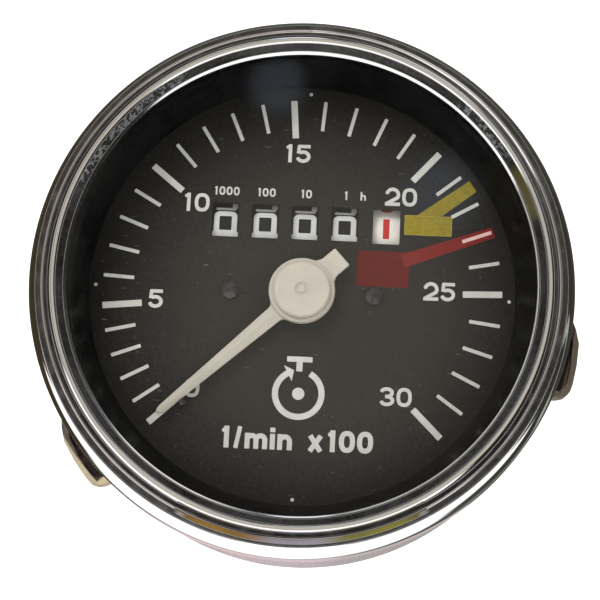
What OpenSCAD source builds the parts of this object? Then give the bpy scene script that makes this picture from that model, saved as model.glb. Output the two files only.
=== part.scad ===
// Round dashboard tachometer with an hour counter, magnetic drag-cup
// movement, cable-driven. Millimetres.
// X to the right as the dial is read, Y into the dash, Z up.
// Origin: on the gauge axis, in the plane where the rear edge of the
// bezel seats on the panel. The dial face lies in the same plane.

/* [Bezel and glass] */
// Outer radius of the bezel
bezel_r = 55; // [54.8:0.1:56]
// Clear radius inside the bezel lip
lip_r = 47.2; // [46.9:0.1:47.6]
// Thickness of the glass
glass_t = 2.2; // [1.6:0.1:2.2]

/* [Case] */
// Outer radius of the drawn case
case_r = 53.5; // [53.2:0.1:53.5]
// Depth of the case behind the panel seat
case_d = 42.5; // [42.5:0.5:44]
// Sheet thickness of the case
case_t = 0.9; // [0.7:0.1:0.9]

/* [Dial] */
// Radius of the dial sheet
dial_r = 46.2; // [45.5:0.1:46.6]
// Thickness of the dial sheet
dial_t = 0.8; // [0.5:0.1:0.8]
// Width of a counter window
win_w = 5.6; // [5:0.1:5.8]
// Height of a counter window
win_h = 7.4; // [6.5:0.1:8]
// Distance of the dial screws from the axis
dial_screw_x = 14.8; // [14:0.1:15]

/* [Pointer] */
// Length of the pointer blade from the axis
blade_l = 38.6; // [36:0.1:39]
// Length of the pointer tail from the axis
tail_l = 10.9; // [9:0.1:11]
// Radius of the pointer hub
hub_r = 6.8; // [6.2:0.1:7]
// Direction of the pointer at zero, counter-clockwise from +X
zero_deg = 223.1; // [222:0.1:223.5]

/* [Counter] */
// Radius of a number drum
drum_r = 9.2; // [8.8:0.1:9.2]
// Width of a number drum
drum_w = 6.0; // [5.6:0.1:6]
// Radius of the counter shaft
counter_shaft_r = 1.5; // [1.3:0.1:1.8]

/* [Movement] */
// Radius of the turning magnet
magnet_r = 11.4; // [10.5:0.1:11.4]
// Radius of the pointer spindle
spindle_r = 0.6; // [0.5:0.05:0.6]
// Radius of the main drive shaft
shaft_r = 1.6; // [1.5:0.05:1.6]

/* [Drive end] */
// Major radius of the cable thread
spigot_r = 7.94; // [7.5:0.01:8]
// End of the cable thread behind the panel seat
spigot_end = 59; // [58.6:0.1:62]
// Width across the square drive socket
socket_af = 2.7; // [2.6:0.05:3]

/* [Bracket] */
// Outer radius of the bracket's feet
bracket_r = 58.2; // [57.8:0.1:58.8]
// Half width of the bracket strap
bracket_hw = 16; // [14:0.5:16]
// Sheet thickness of the bracket
bracket_t = 1.2; // [1:0.1:1.5]
// Turn of the bracket about the gauge axis
bracket_deg = 13.4; // [0:0.1:20]
// Radius of the mounting studs
stud_r = 2.4; // [2:0.1:2.4]

/* [Hidden] */
$fn = 72;

glass_back = -10.6;            // rear face of the glass
glass_front = glass_back - glass_t;
fit = 0.06;                    // radial clearance of a running fit

// Counter: centres of the drums, its axis and the pinion axis (y, z)
drum_x = [-16.6, -8.35, -0.1, 8.15, 16.8];
cy0 = 10.6;
cz0 = 13.9;
win_z = 14.75;                 // windows sit a little above the drums' axis
pin_y = 16.2;
pin_z = 23.6;
gear_n = 20;                   // teeth on each drum's ring gear
pinion_n = 8;                  // teeth on a transfer pinion
gear_rp = 8.0;
pinion_rp = 3.2;
mesh_deg = atan2(pin_z - cz0, pin_y - cy0);

// Hour-counter drive: worm lead, wheels and their axes
lead = 0.9425;
worm_r = 2.3;
worm_e = 0.28;
wheel_n = 20;
wheel_rp = 3.0;
wheel_y = 35.5;
cross_z = worm_r + wheel_rp;   // height of the cross shaft
timer_n = 54;
timer_rp = 8.1;
timer_x = 20;
timer_z = cross_z + worm_r + timer_rp;

// Movement frame: plate outline and pillar places (x, z)
plate_w = 52;
plate_lo = -27.5;
plate_hi = 33.5;
pillars = [[-22, 29.5], [22, 29.5], [-22, -23.5], [22, -23.5]];
base_y = 39.1;
middle_y = 30.4;
front_y = 7;
plate_t = 1.5;

// Lamps and studs
lamp_r = 40;
lamp_deg = [bracket_deg + 90, bracket_deg + 270];
stud_d = 34;
bridge_y = 50;                 // front face of the bracket's bridge

// ---- helpers: shapes along Y, along X, and revolved about Y ----
module cyl_y(y0, y1, r) {
    translate([0, y0, 0]) rotate([-90, 0, 0]) cylinder(h = y1 - y0, r = r);
}
module cyl_x(x0, x1, r) {
    translate([x0, 0, 0]) rotate([0, 90, 0]) cylinder(h = x1 - x0, r = r);
}
module cyl_z(z0, z1, r) {
    translate([0, 0, z0]) cylinder(h = z1 - z0, r = r);
}
// plate whose outline is drawn in (x, z)
module plate_y(y0, t) {
    translate([0, y0 + t, 0]) rotate([90, 0, 0]) linear_extrude(t) children();
}
// plate whose outline is drawn in (y, z)
module plate_x(x0, t) {
    translate([x0, 0, 0]) rotate([90, 0, 90]) linear_extrude(t) children();
}
// profile drawn in (radius, y), revolved about the gauge axis
module revolve_y() { rotate([-90, 0, 0]) rotate_extrude() children(); }
module at(p) { translate([p[0], 0, p[1]]) children(); }
module polar(r, a) { translate([r * cos(a), 0, r * sin(a)]) children(); }
module rounded(x0, z0, x1, z1, r) {
    translate([x0 + r, z0]) square([x1 - x0 - 2 * r, z1 - z0]);
    translate([x0, z0 + r]) square([x1 - x0, z1 - z0 - 2 * r]);
    for (x = [x0 + r, x1 - r], z = [z0 + r, z1 - r])
        translate([x, z]) circle(r);
}
// toothed outline: a crest at angle ph
module teeth(n, rp, amp, cl, ph) {
    k = n * 8;
    polygon([for (i = [0:k - 1]) let (a = i * 360 / k,
        r = rp - cl + amp * cos(n * (a - ph))) [r * cos(a), r * sin(a)]]);
}
// saw-toothed outline
module saw(n, r, d) {
    polygon([for (i = [0:2 * n - 1]) let (k = floor(i / 2),
        a = (k + (i % 2) * 0.85) * 360 / n,
        q = i % 2 == 0 ? r - d : r) [q * cos(a), q * sin(a)]]);
}
// single-start worm thread along +Z, crest at angle ph when z = 0
module worm_thread(z0, len, r, e, core, ph) {
    c = core / cos(180 / 14) + 0.01;
    translate([0, 0, z0]) rotate(ph + 360 * z0 / lead)
        linear_extrude(height = len, twist = -360 * len / lead,
            slices = round(len / lead * 12), $fn = 14)
            difference() {
                translate([e, 0]) circle(r, $fn = 18);
                circle(c, $fn = 14);
            }
}
module frame_outline(x1) {
    rounded(-plate_w / 2, plate_lo, x1, plate_hi, 6);
}

// ---- bezel, glass and surround ----
module bezel() {
    color("silver") revolve_y() polygon([
        [lip_r, -12.95], [lip_r + 0.05, -13.2], [lip_r + 0.3, -13.36],
        [lip_r + 0.65, -13.55], [lip_r + 1.2, -14.1],
        [lip_r + 1.7, -14.68], [lip_r + 2.1, -14.92],
        [lip_r + 2.5, -15.0], [lip_r + 2.9, -14.92],
        [lip_r + 3.25, -14.66], [lip_r + 3.5, -14.15],
        [lip_r + 3.75, -13.93], [lip_r + 4.0, -14.02],
        [lip_r + 4.3, -14.17], [lip_r + 4.7, -14.11],
        [lip_r + 5.4, -13.93], [bezel_r - 2.15, -13.5],
        [bezel_r - 1.8, -13.12], [bezel_r - 1.5, -12.65],
        [bezel_r - 1.0, -11.9], [bezel_r - 0.6, -10.9],
        [bezel_r - 0.25, -9.85], [bezel_r, -8.5], [bezel_r, -0.4],
        [bezel_r - 0.4, 0], [case_r + 0.12, 0], [case_r + 0.12, -0.6],
        [bezel_r - 0.6, -0.6], [bezel_r - 0.6, -8.6],
        [bezel_r - 0.85, -9.8], [bezel_r - 1.2, -10.7],
        [bezel_r - 1.6, -11.6], [bezel_r - 2.1, -12.3],
        [bezel_r - 2.4, -12.75], [lip_r + 5.1, -13.3],
        [lip_r + 4.6, -13.6], [lip_r + 4.2, -13.5],
        [lip_r + 3.8, -13.35], [lip_r + 3.3, -13.5],
        [lip_r + 2.9, -14.1], [lip_r + 2.5, -14.35],
        [lip_r + 2.1, -14.2], [lip_r + 1.7, -13.7],
        [lip_r + 1.2, -13.15], [lip_r + 0.7, -12.92],
        [lip_r + 0.1, -12.82]]);
}

module lens_glass() {
    color("lightblue", 0.35) cyl_y(glass_front, glass_back, 52.0);
}

module lens_gasket() {
    color("dimgray") revolve_y()
        translate([48.0, glass_back]) square([4.2, 0.7]);
}

// Black inner ring, from the flange under the glass down to the dial
module dial_surround() {
    color("black") revolve_y() polygon([[46.9, -9.9], [51.8, -9.9],
        [51.8, -9.2], [47.6, -9.2], [44.5, 0], [43.7, 0]]);
}

// ---- case ----
module case() {
    color("gainsboro") difference() {
        revolve_y() polygon([
            [50.2, -9.2], [case_r, -9.2], [case_r, -1.7],
            [bezel_r - 0.66, -1.7], [bezel_r - 0.66, -0.62],
            [case_r, -0.62], [case_r, case_d - 2],
            [case_r - 0.6, case_d - 0.6], [case_r - 2, case_d],
            [0, case_d], [0, case_d - case_t],
            [case_r - 2.2, case_d - case_t],
            [case_r - case_t - 0.4, case_d - case_t - 0.4],
            [case_r - case_t, case_d - 2.2],
            [case_r - case_t, -8.3], [50.2, -8.3]]);
        cyl_y(case_d - 2, case_d + 1, 6);
        for (a = lamp_deg) polar(lamp_r, a) cyl_y(case_d - 2, case_d + 1, 6);
        for (s = [0, 180]) polar(stud_d, bracket_deg + s)
            cyl_y(case_d - 2, case_d + 1, stud_r);
        for (a = [30, 150, 270]) polar(16, a)
            cyl_y(case_d - 2, case_d + 1, 1.7);
        polar(43, bracket_deg + 298) cyl_y(case_d - 2, case_d + 1, 1.6);
    }
}

module bracket_studs() {
    color("goldenrod") for (s = [0, 180]) polar(stud_d, bracket_deg + s) {
        cyl_y(case_d - case_t - 1.2, case_d - case_t, 4.5);
        cyl_y(case_d - case_t, 63.4, stud_r);
        translate([0, 63.4, 0]) rotate([-90, 0, 0])
            cylinder(h = 0.6, r1 = stud_r, r2 = stud_r - 0.6);
    }
}

// Earthing blade riveted to the back of the case
module ground_tab() {
    color("silver") polar(43, bracket_deg + 298) rotate([0, -28, 0]) {
        difference() {
            translate([-3.15, case_d, -4]) cube([6.3, 0.8, 8]);
            cyl_y(case_d - 0.5, case_d + 1, 1.6);
        }
        difference() {
            translate([-3.15, case_d, -4.8]) cube([6.3, 9, 0.8]);
            translate([0, case_d + 6, -6]) cyl_z(0, 3, 0.8);
        }
        cyl_y(case_d - case_t - 0.6, case_d - case_t, 2.4);
        cyl_y(case_d - case_t, case_d + 0.8, 1.6);
        cyl_y(case_d + 0.8, case_d + 1.5, 2.4);
    }
}

// ---- movement frame ----
module movement_base() {
    color("darkgray") difference() {
        union() {
            plate_y(base_y, case_d - case_t - base_y) frame_outline(26);
            // two lugs that carry the cross shaft
            for (x = [-5.2, 11.6]) translate([x, 32.6, 2.6])
                cube([2.4, base_y - 32.6, 4.8]);
            translate([23.2, 32.6, 2.6]) cube([2.4, base_y - 32.6, 4.8]);
        }
        for (a = lamp_deg) polar(lamp_r, a) cyl_y(base_y - 1, case_d, 6.5);
        cyl_y(base_y - 1, case_d, 6);
        for (p = pillars) at(p) cyl_y(base_y - 1, case_d, 1.25);
        for (a = [30, 150, 270]) polar(16, a) cyl_y(base_y - 1, case_d, 1.5);
        at([timer_x, timer_z]) cyl_y(base_y - 1, case_d, 1 + fit);
        translate([0, wheel_y, cross_z]) cyl_x(-6, 26, 1 + fit);
    }
}

module middle_plate() {
    color("gold") difference() {
        union() {
            plate_y(middle_y, plate_t) frame_outline(26);
            translate([14, 19.6, 27]) cube([4, middle_y - 19.6 + 0.5, 1.2]);
        }
        cyl_y(middle_y - 1, middle_y + 3, 3.2);
        for (p = pillars) at(p) cyl_y(middle_y - 1, middle_y + 3, 1.25);
        at([timer_x, timer_z]) cyl_y(middle_y - 1, middle_y + 3, 1 + fit);
        at([9.5, 18.5]) cyl_y(middle_y - 1, middle_y + 3, 1.2);
    }
}

module front_plate() {
    color("gold") difference() {
        plate_y(front_y, plate_t) difference() {
            frame_outline(26);
            translate([-21.4, 3.6]) square([45.8, 20.6]);
            circle(2);
            for (s = [-1, 1]) translate([s * dial_screw_x, 0]) circle(1.25);
            for (p = pillars) translate(p) circle(1.25);
            translate([0, -5.8]) circle(0.7);
        }
    }
}

module frame_pillars() {
    color("silver") for (p = pillars) at(p) difference() {
        union() {
            cyl_y(front_y + plate_t, middle_y, 2);
            cyl_y(middle_y, middle_y + plate_t, 1.25);
            cyl_y(middle_y + plate_t, base_y, 2);
            cyl_y(base_y, case_d - case_t, 1.25);
        }
        cyl_y(front_y, front_y + plate_t + 6, 0.9);
    }
}

module slot_screw(y_head, h, rh, y_tip, rs) {
    difference() {
        union() {
            cyl_y(y_head, y_head + h, rh);
            cyl_y(y_head + h, y_tip, rs);
        }
        translate([-rh - 1, y_head - 0.5, -0.3]) cube([2 * rh + 2, 0.5 + h * 0.5, 0.6]);
    }
}

module frame_screws() {
    color("silver") for (p = pillars) at(p)
        slot_screw(front_y - 1.2, 1.2, 2.1, front_y + plate_t + 5, 0.9);
}

// Screws from outside, through the back of the case into the base
module case_screws() {
    color("goldenrod") for (a = [30, 150, 270]) polar(16, a)
        difference() {
            union() {
                cyl_y(base_y + 0.2, case_d - case_t, 1.5);
                cyl_y(case_d - case_t, case_d, 1.5);
                cyl_y(case_d, case_d + 0.5, 3.6);
                cyl_y(case_d + 0.5, case_d + 2.2, 2.9);
            }
            translate([-4, case_d + 1.3, -0.4]) cube([8, 1.5, 0.8]);
        }
}

module shaft_bush() {
    color("peru") difference() {
        union() {
            cyl_y(middle_y - 0.5, middle_y, 4);
            cyl_y(middle_y, middle_y + plate_t + 0.3, 3.2);
        }
        cyl_y(middle_y - 2, middle_y + 4, shaft_r + fit);
    }
}

module spindle_bush() {
    color("peru") difference() {
        union() {
            cyl_y(front_y - 0.5, front_y + plate_t, 2);
            cyl_y(front_y + plate_t, front_y + plate_t + 0.6, 2.6);
        }
        cyl_y(front_y - 2, front_y + 4, spindle_r + fit);
    }
}

module field_ring() {
    color("dimgray") revolve_y() translate([12.9, 21.6])
        square([2.0, middle_y - 21.6]);
}

// ---- dial and what is on it ----
module dial() {
    color([0.12, 0.11, 0.10]) plate_y(0, dial_t) difference() {
        circle(dial_r, $fn = 120);
        for (x = drum_x) translate([x - win_w / 2, win_z - win_h / 2])
            square([win_w, win_h]);
        circle(2.2);
        for (s = [-1, 1]) translate([s * dial_screw_x, 0]) circle(1.1);
        translate([33.4 * cos(226.2), 33.4 * sin(226.2)]) circle(0.7);
    }
}

module dial_posts() {
    color("silver") for (s = [-1, 1]) at([s * dial_screw_x, 0]) difference() {
        union() {
            cyl_y(dial_t, front_y, 2.5);
            cyl_y(front_y, front_y + plate_t + 0.5, 1.25);
        }
        cyl_y(dial_t - 1, dial_t + 4.5, 0.9);
    }
}

module dial_screws() {
    color("black") for (s = [-1, 1]) at([s * dial_screw_x, 0])
        slot_screw(-0.9, 0.9, 1.9, dial_t + 4, 0.9);
}

module zero_stop_pin() {
    color("black") polar(33.4, 226.2) {
        cyl_y(-3.1, dial_t, 0.7);
        cyl_y(dial_t, dial_t + 0.6, 1.3);
    }
}

// ---- pointer group ----
module pointer() {
    tw = 4.6;
    color("ivory") rotate([0, -zero_deg, 0]) difference() {
        union() {
            cyl_y(-3.3, -2.0, hub_r);
            plate_y(-2.9, 0.9) {
                polygon([[0, -2.6], [7.5, -1.75], [20, -1.35],
                    [blade_l - 1, -0.85], [blade_l, 0],
                    [blade_l - 1, 0.85], [20, 1.35], [7.5, 1.75], [0, 2.6]]);
                translate([-tail_l, -tw / 2]) square([tail_l, tw]);
            }
        }
        cyl_y(-5, 0, spindle_r);
    }
}

module pointer_cap() {
    color("ivory") difference() {
        revolve_y() polygon([[0, -3.3], [5.9, -3.3], [5.9, -4.0], [5.5, -4.4],
            [1.4, -4.4], [0.9, -3.9], [0, -3.9]]);
        cyl_y(-3.31, -3.15, spindle_r);
    }
}

module pointer_spindle() {
    color("silver") cyl_y(-3.25, 24.6, spindle_r);
}

module hairspring_collet() {
    color("gold") difference() {
        cyl_y(3.4, 5.2, 1.5);
        cyl_y(3, 6, spindle_r);
    }
}

// Flat spiral of strip, drawn turn by turn in (x, z)
module hairspring() {
    turns = 4;
    r0 = 1.72;
    r1 = 5.0;
    n = turns * 24 + 6;
    function sr(i) = r0 + (r1 - r0) * i / n;
    function sa(i) = 90 + i * 15;
    color("peru") plate_y(3.8, 1.0) polygon(concat(
        [for (i = [0:n]) (sr(i) + 0.11) * [cos(sa(i)), sin(sa(i))]],
        [for (i = [n:-1:0]) (sr(i) - 0.11) * [cos(sa(i)), sin(sa(i))]]));
}

module spring_anchor() {
    color("gold") at([0, -5.8]) {
        cyl_y(3.4, front_y, 0.65);
        cyl_y(front_y, front_y + plate_t, 0.7);
    }
}

module drag_cup() {
    color("silver") difference() {
        union() {
            cyl_y(20.2, 21.2, 2.0);
            revolve_y() polygon([[0, 21.2], [12.4, 21.2], [12.4, 29.2],
                [11.9, 29.2], [11.9, 21.8], [0, 21.8]]);
        }
        cyl_y(19, 23, spindle_r);
    }
}

// ---- drive ----
module main_shaft() {
    color("silver") difference() {
        union() {
            cyl_y(22.4, 44.6, shaft_r);
            cyl_y(44.6, 57, 2.4);
        }
        cyl_y(22, 25, spindle_r + fit);
        translate([-socket_af / 2, 47, -socket_af / 2])
            cube([socket_af, 12, socket_af]);
    }
}

module magnet_rotor() {
    color("dimgray") difference() {
        union() {
            cyl_y(22.9, 28.6, magnet_r);
            cyl_y(28.6, 29.5, 3.2);
        }
        cyl_y(22, 31, shaft_r);
        for (a = [45:90:315]) polar(7, a) cyl_y(22, 31, 1.2);
    }
}

module drive_worm() {
    color("peru") rotate([-90, 0, 0])
        worm_thread(33.4, 4.2, worm_r, worm_e, shaft_r,
            -90 - 360 * wheel_y / lead + 180);
}

module cross_shaft() {
    color("silver") translate([0, wheel_y, cross_z]) cyl_x(-5.6, 26.2, 1);
}

module worm_wheel() {
    color("gold") translate([0, wheel_y, cross_z]) difference() {
        union() {
            plate_x(-0.7, 1.4) teeth(wheel_n, wheel_rp, 0.26, 0.1, -90);
            cyl_x(0.7, 2.4, 1.9);
        }
        cyl_x(-2, 3, 1);
    }
}

module cross_worm() {
    color("peru") translate([0, wheel_y, cross_z]) rotate([90, 0, 90])
        worm_thread(timer_x - 2.1, 4.2, worm_r, worm_e, 1,
            90 - 360 * timer_x / lead + 180);
}

module timing_shaft() {
    color("silver") at([timer_x, timer_z]) cyl_y(20.5, 41.4, 1);
}

module timing_wheel() {
    color("gold") at([timer_x, timer_z]) difference() {
        union() {
            plate_y(wheel_y - 0.7, 1.4)
                teeth(timer_n, timer_rp, 0.26, 0.1, -90);
            cyl_y(wheel_y - 2.6, wheel_y - 0.7, 2.4);
        }
        cyl_y(wheel_y - 4, wheel_y + 4, 1);
        for (a = [0:60:300]) rotate([0, -a, 0]) translate([5, 0, 0])
            cyl_y(wheel_y - 4, wheel_y + 4, 1.4);
    }
}

// Eccentric on the front end of the timing shaft
module timing_cam() {
    color("gold") at([timer_x, timer_z]) difference() {
        translate([0, 0, -0.45]) cyl_y(20.5, 21.5, 1.5);
        cyl_y(20, 22, 1);
    }
}

// ---- ratchet pawl ----
module pawl_pivot() {
    color("silver") at([9.5, 18.5]) {
        cyl_y(20.1, 20.4, 1.7);
        cyl_y(20.4, 21.6, 1);
        cyl_y(21.6, middle_y, 1.7);
        cyl_y(middle_y, middle_y + plate_t, 1.2);
    }
}

module pawl_lever() {
    color("silver") difference() {
        union() {
            plate_y(20.5, 1.0) {
                translate([9.5, 18.5]) circle(2.3);
                polygon([[9.5, 17.2], [22.6, 17.8], [23.6, 18.6],
                    [22.6, 19.6], [9.5, 19.9]]);
            }
            // blade bent forward to the ratchet
            plate_x(20.15, 0.9) polygon([[20.6, 17.9], [20.6, 19.4],
                [19.2, 19.0], [17.2, 18.3], [17.2, 17.95]]);
        }
        at([9.5, 18.5]) cyl_y(20, 22, 1 + fit);
    }
}

// Small spring that presses the lever down, coil by coil along Z
module pawl_spring() {
    r = 0.85;
    w = 0.16;
    z0 = 19.95;
    z1 = 26.8;
    coils = 7;
    n = coils * 10;
    color("silver") translate([16, 21.0, 0]) {
        polyhedron(
            points = [for (i = [0:n]) let (a = i * 36, z = z0 + (z1 - z0) * i / n)
                each [for (k = [0:4]) let (q = k * 72)
                    [(r + w * cos(q)) * cos(a), (r + w * cos(q)) * sin(a),
                     z + w * sin(q)]]],
            faces = concat([[0, 1, 2, 3, 4]],
                [for (i = [0:n - 1], k = [0:4]) let (b = 5 * i, c = b + 5,
                    k1 = (k + 1) % 5) [b + k, c + k, c + k1, b + k1]],
                [[for (k = [4:-1:0]) 5 * n + k]]));
    }
}

// ---- counter ----
module counter_outline() {
    rounded(front_y + plate_t, 4, 20, 27.2, 2);
}
module counter_plates() {
    color("silver") for (x = [-22.6, 24.6]) difference() {
        plate_x(x, 1.2) difference() {
            counter_outline();
            translate([pin_y, pin_z]) circle(1.2);
        }
        translate([0, cy0, cz0]) cyl_x(x - 1, x + 3, counter_shaft_r);
    }
}

module counter_shaft() {
    color("silver") translate([0, cy0, cz0])
        cyl_x(-23.4, 26.6, counter_shaft_r);
}

module pinion_shaft() {
    color("silver") translate([0, pin_y, pin_z]) cyl_x(-23.2, 26.4, 1.2);
}

// Number drum: printed rim, web, hub, ring gear on its right side and a
// plain locking rim on its left side
module drum(x, gear) {
    translate([x, cy0, cz0]) difference() {
        union() {
            difference() {
                cyl_x(-drum_w / 2, drum_w / 2, drum_r);
                cyl_x(-drum_w / 2 + 1.2, drum_w / 2 + 1, drum_r - 1.4);
            }
            cyl_x(-drum_w / 2, drum_w / 2 + 0.9, 3);
            cyl_x(-drum_w / 2 - 0.35, -drum_w / 2, 6.6);
            if (gear) difference() {
                plate_x(drum_w / 2 - 1.2, 2.3)
                    teeth(gear_n, gear_rp, 0.5, 0.14, mesh_deg);
                cyl_x(0, drum_w, 6.6);
            }
        }
        cyl_x(-drum_w, drum_w, counter_shaft_r + fit);
    }
}

module drum_thousands() { color([0.1, 0.1, 0.1]) drum(drum_x[0], true); }
module drum_hundreds() { color([0.1, 0.1, 0.1]) drum(drum_x[1], true); }
module drum_tens() { color([0.1, 0.1, 0.1]) drum(drum_x[2], true); }
module drum_units() { color([0.1, 0.1, 0.1]) drum(drum_x[3], true); }
module drum_tenths() { color("white") drum(drum_x[4], false); }

module ratchet_wheel() {
    color("gold") difference() {
        translate([0, cy0, cz0]) {
            plate_x(drum_x[4] + drum_w / 2 + 0.9 - 0.5, 0.9) saw(50, 7.5, 0.5);
            cyl_x(drum_x[4] + drum_w / 2 + 1.3, 24.4, 2.6);
        }
        translate([0, cy0, cz0]) {
            cyl_x(drum_x[4] + drum_w / 2 - 1, drum_x[4] + drum_w / 2 + 0.9, 3);
            cyl_x(18, 25, counter_shaft_r + fit);
        }
    }
}

module transfer_pinion(i) {
    x = drum_x[i] + drum_w / 2 + 0.25;
    color("gold") translate([x, pin_y, pin_z]) difference() {
        plate_x(0, 1.5) teeth(pinion_n, pinion_rp, 0.5, 0.14,
            180 + mesh_deg + 180 / pinion_n);
        cyl_x(-1, 3, 1.2 + fit);
    }
}
module transfer_pinion_thousands() { transfer_pinion(0); }
module transfer_pinion_hundreds() { transfer_pinion(1); }
module transfer_pinion_tens() { transfer_pinion(2); }
module transfer_pinion_units() { transfer_pinion(3); }

// ---- cable connection ----
module drive_spigot() {
    color("silver") difference() {
        union() {
            cyl_y(base_y, case_d, 6);
            cyl_y(case_d, case_d + 2, 11);
            cyl_y(case_d + 2, spigot_end - 0.8, spigot_r);
            translate([0, spigot_end - 0.8, 0]) rotate([-90, 0, 0])
                cylinder(h = 0.8, r1 = spigot_r, r2 = spigot_r - 0.8);
        }
        cyl_y(base_y - 1, case_d + 2, 3);
        cyl_y(case_d + 1.9, spigot_end + 1, 4.8);
    }
}

module spigot_bush() {
    color("peru") difference() {
        cyl_y(case_d + 2.5, 55.5, 4.8);
        cyl_y(case_d, 60, 2.4 + fit);
    }
}

// ---- lamps ----
module lamp_sockets() {
    color("silver") for (a = lamp_deg) polar(lamp_r, a) difference() {
        union() {
            cyl_y(36.5, case_d, 6);
            cyl_y(case_d, case_d + 1, 7.4);
            cyl_y(case_d + 1, case_d + 7, 6.2);
            cyl_y(case_d + 7, case_d + 8, 4.5);
            translate([-2.4, case_d + 8, -0.4]) cube([4.8, 6.5, 0.8]);
        }
        cyl_y(30, case_d + 5, 4.7);
    }
}

module lamp_bulbs() {
    color("white", 0.6) for (a = lamp_deg) polar(lamp_r, a) {
        cyl_y(34.5, case_d + 5, 4.62);
        translate([0, 34.5, 0]) rotate([90, 0, 0])
            cylinder(h = 2, r1 = 4.62, r2 = 3.6);
        translate([0, 32.5, 0]) rotate([90, 0, 0])
            cylinder(h = 1.3, r1 = 3.6, r2 = 1.6);
    }
}

// ---- bracket: strap over the back of the case, legs close along its
// sides, and a shallow flanged foot on either side of each leg ----
leg_ri = 54.1;
leg_y0 = 6.8;
foot_y0 = 3;
// strap's own frame: X along the strap, a little off centre on its studs
module on_strap() {
    rotate([0, -bracket_deg, 0]) translate([0.3, 0, 0]) children();
}
function pol2(p) = [p[0] * cos(p[1]), p[0] * sin(p[1])];
// Outline and well of one foot as [radius, angle from the strap's axis];
// the upper pair is shallower and stays hidden behind the bezel
module foot(upper = false) {
    g = bracket_r - 57.95;
    rim = upper ? [[54.8, 14], [55.6, 18.2], [56.1, 21], [56.5, 25.5],
        [56.7, 29.5], [56.6, 31], [56.2, 32.2], [55.6, 33.0],
        [54.6, 33.7], [50, 33.9], [50, 14]] : [[54.8, 14], [56.6, 18.2], [57.3 + g, 21], [57.7 + g, 25.5],
        [57.95 + g, 29.5], [57.9 + g, 31], [57.2 + g, 32.2], [56.3, 33.0],
        [54.6, 33.7], [50, 33.9], [50, 14]];
    well = upper ? [[53.0, 14.6], [54.5, 18.2], [55.0, 21], [55.3, 25.5],
        [55.5, 29.5], [55.3, 30.6], [55.0, 31.4], [54.5, 32.3],
        [52, 32.5]] : [[53.0, 14.6], [55.3, 18.2], [56.0 + g, 21], [56.5 + g, 25.5],
        [56.75 + g, 29.5], [56.5 + g, 30.6], [56.0, 31.4], [54.8, 32.3],
        [52, 32.5]];
    difference() {
        plate_y(foot_y0, leg_y0 + bracket_t - foot_y0) difference() {
            polygon([for (q = rim) pol2(q)]);
            circle(leg_ri, $fn = 120);
        }
        plate_y(foot_y0 - 1, leg_y0 - foot_y0 + 1)
            polygon([for (q = well) pol2(q)]);
    }
}
module bracket() {
    color("goldenrod") on_strap() difference() {
        union() {
            // bridge
            plate_y(bridge_y, bracket_t) {
                intersection() {
                    circle(leg_ri + bracket_t, $fn = 120);
                    square([140, 2 * bracket_hw], center = true);
                }
                circle(21);
            }
            // curved legs
            plate_y(leg_y0 + 0.4, bridge_y + bracket_t - leg_y0 - 0.8)
                intersection() {
                difference() {
                    circle(leg_ri + bracket_t, $fn = 120);
                    circle(leg_ri, $fn = 120);
                }
                square([140, 2 * bracket_hw], center = true);
            }
            for (m = [0, 1], n = [0, 1])
                mirror([m, 0, 0]) mirror([0, 0, n]) foot(n == 0);
        }
        // holes for the cable nut and the studs
        translate([-0.3, 0, 0]) {
            cyl_y(bridge_y - 1, bridge_y + 3, 14);
            for (s = [-1, 1]) translate([s * stud_d, 0, 0])
                cyl_y(bridge_y - 1, bridge_y + 3, stud_r + 0.4);
        }
    }
}

module bracket_washers() {
    color("silver") for (s = [0, 180]) polar(stud_d, bracket_deg + s)
        difference() {
            cyl_y(bridge_y + bracket_t, bridge_y + bracket_t + 1.1, 5.2);
            cyl_y(bridge_y, bridge_y + 4, stud_r + 0.2);
        }
}

module bracket_nuts() {
    y0 = bridge_y + bracket_t + 1.1;
    color("goldenrod") for (s = [0, 180]) polar(stud_d, bracket_deg + s)
        difference() {
            translate([0, y0, 0]) rotate([-90, 0, 0])
                cylinder(h = 4, r = 4.62, $fn = 6);
            cyl_y(y0 - 1, y0 + 5, stud_r + fit);
        }
}

bezel();
lens_glass();
lens_gasket();
dial_surround();
case();
movement_base();
drive_spigot();
spigot_bush();
middle_plate();
shaft_bush();
front_plate();
frame_pillars();
frame_screws();
case_screws();
dial();
dial_posts();
dial_screws();
zero_stop_pin();
spindle_bush();
spring_anchor();
hairspring();
field_ring();
counter_plates();
counter_shaft();
pinion_shaft();
pawl_pivot();
pawl_spring();
lamp_sockets();
lamp_bulbs();
bracket_studs();
ground_tab();
pointer();
pointer_cap();
pointer_spindle();
hairspring_collet();
drag_cup();
main_shaft();
magnet_rotor();
drive_worm();
cross_shaft();
worm_wheel();
cross_worm();
timing_shaft();
timing_wheel();
timing_cam();
pawl_lever();
drum_tenths();
ratchet_wheel();
drum_units();
drum_tens();
drum_hundreds();
drum_thousands();
transfer_pinion_units();
transfer_pinion_tens();
transfer_pinion_hundreds();
transfer_pinion_thousands();
bracket();
bracket_washers();
bracket_nuts();
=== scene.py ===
"""Looks of the round dash tachometer: fine meshes, procedural finishes, print and stage.

Everything is written in millimetres in the frame of the construction
(X right as the dial is read, Y into the dash, Z up, origin on the gauge
axis in the plane of the dial face) and turned into metres when a mesh is made.
"""

import math

import bpy
import bmesh
import numpy as np
from mathutils import Matrix, Vector
from mathutils.geometry import delaunay_2d_cdt


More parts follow.
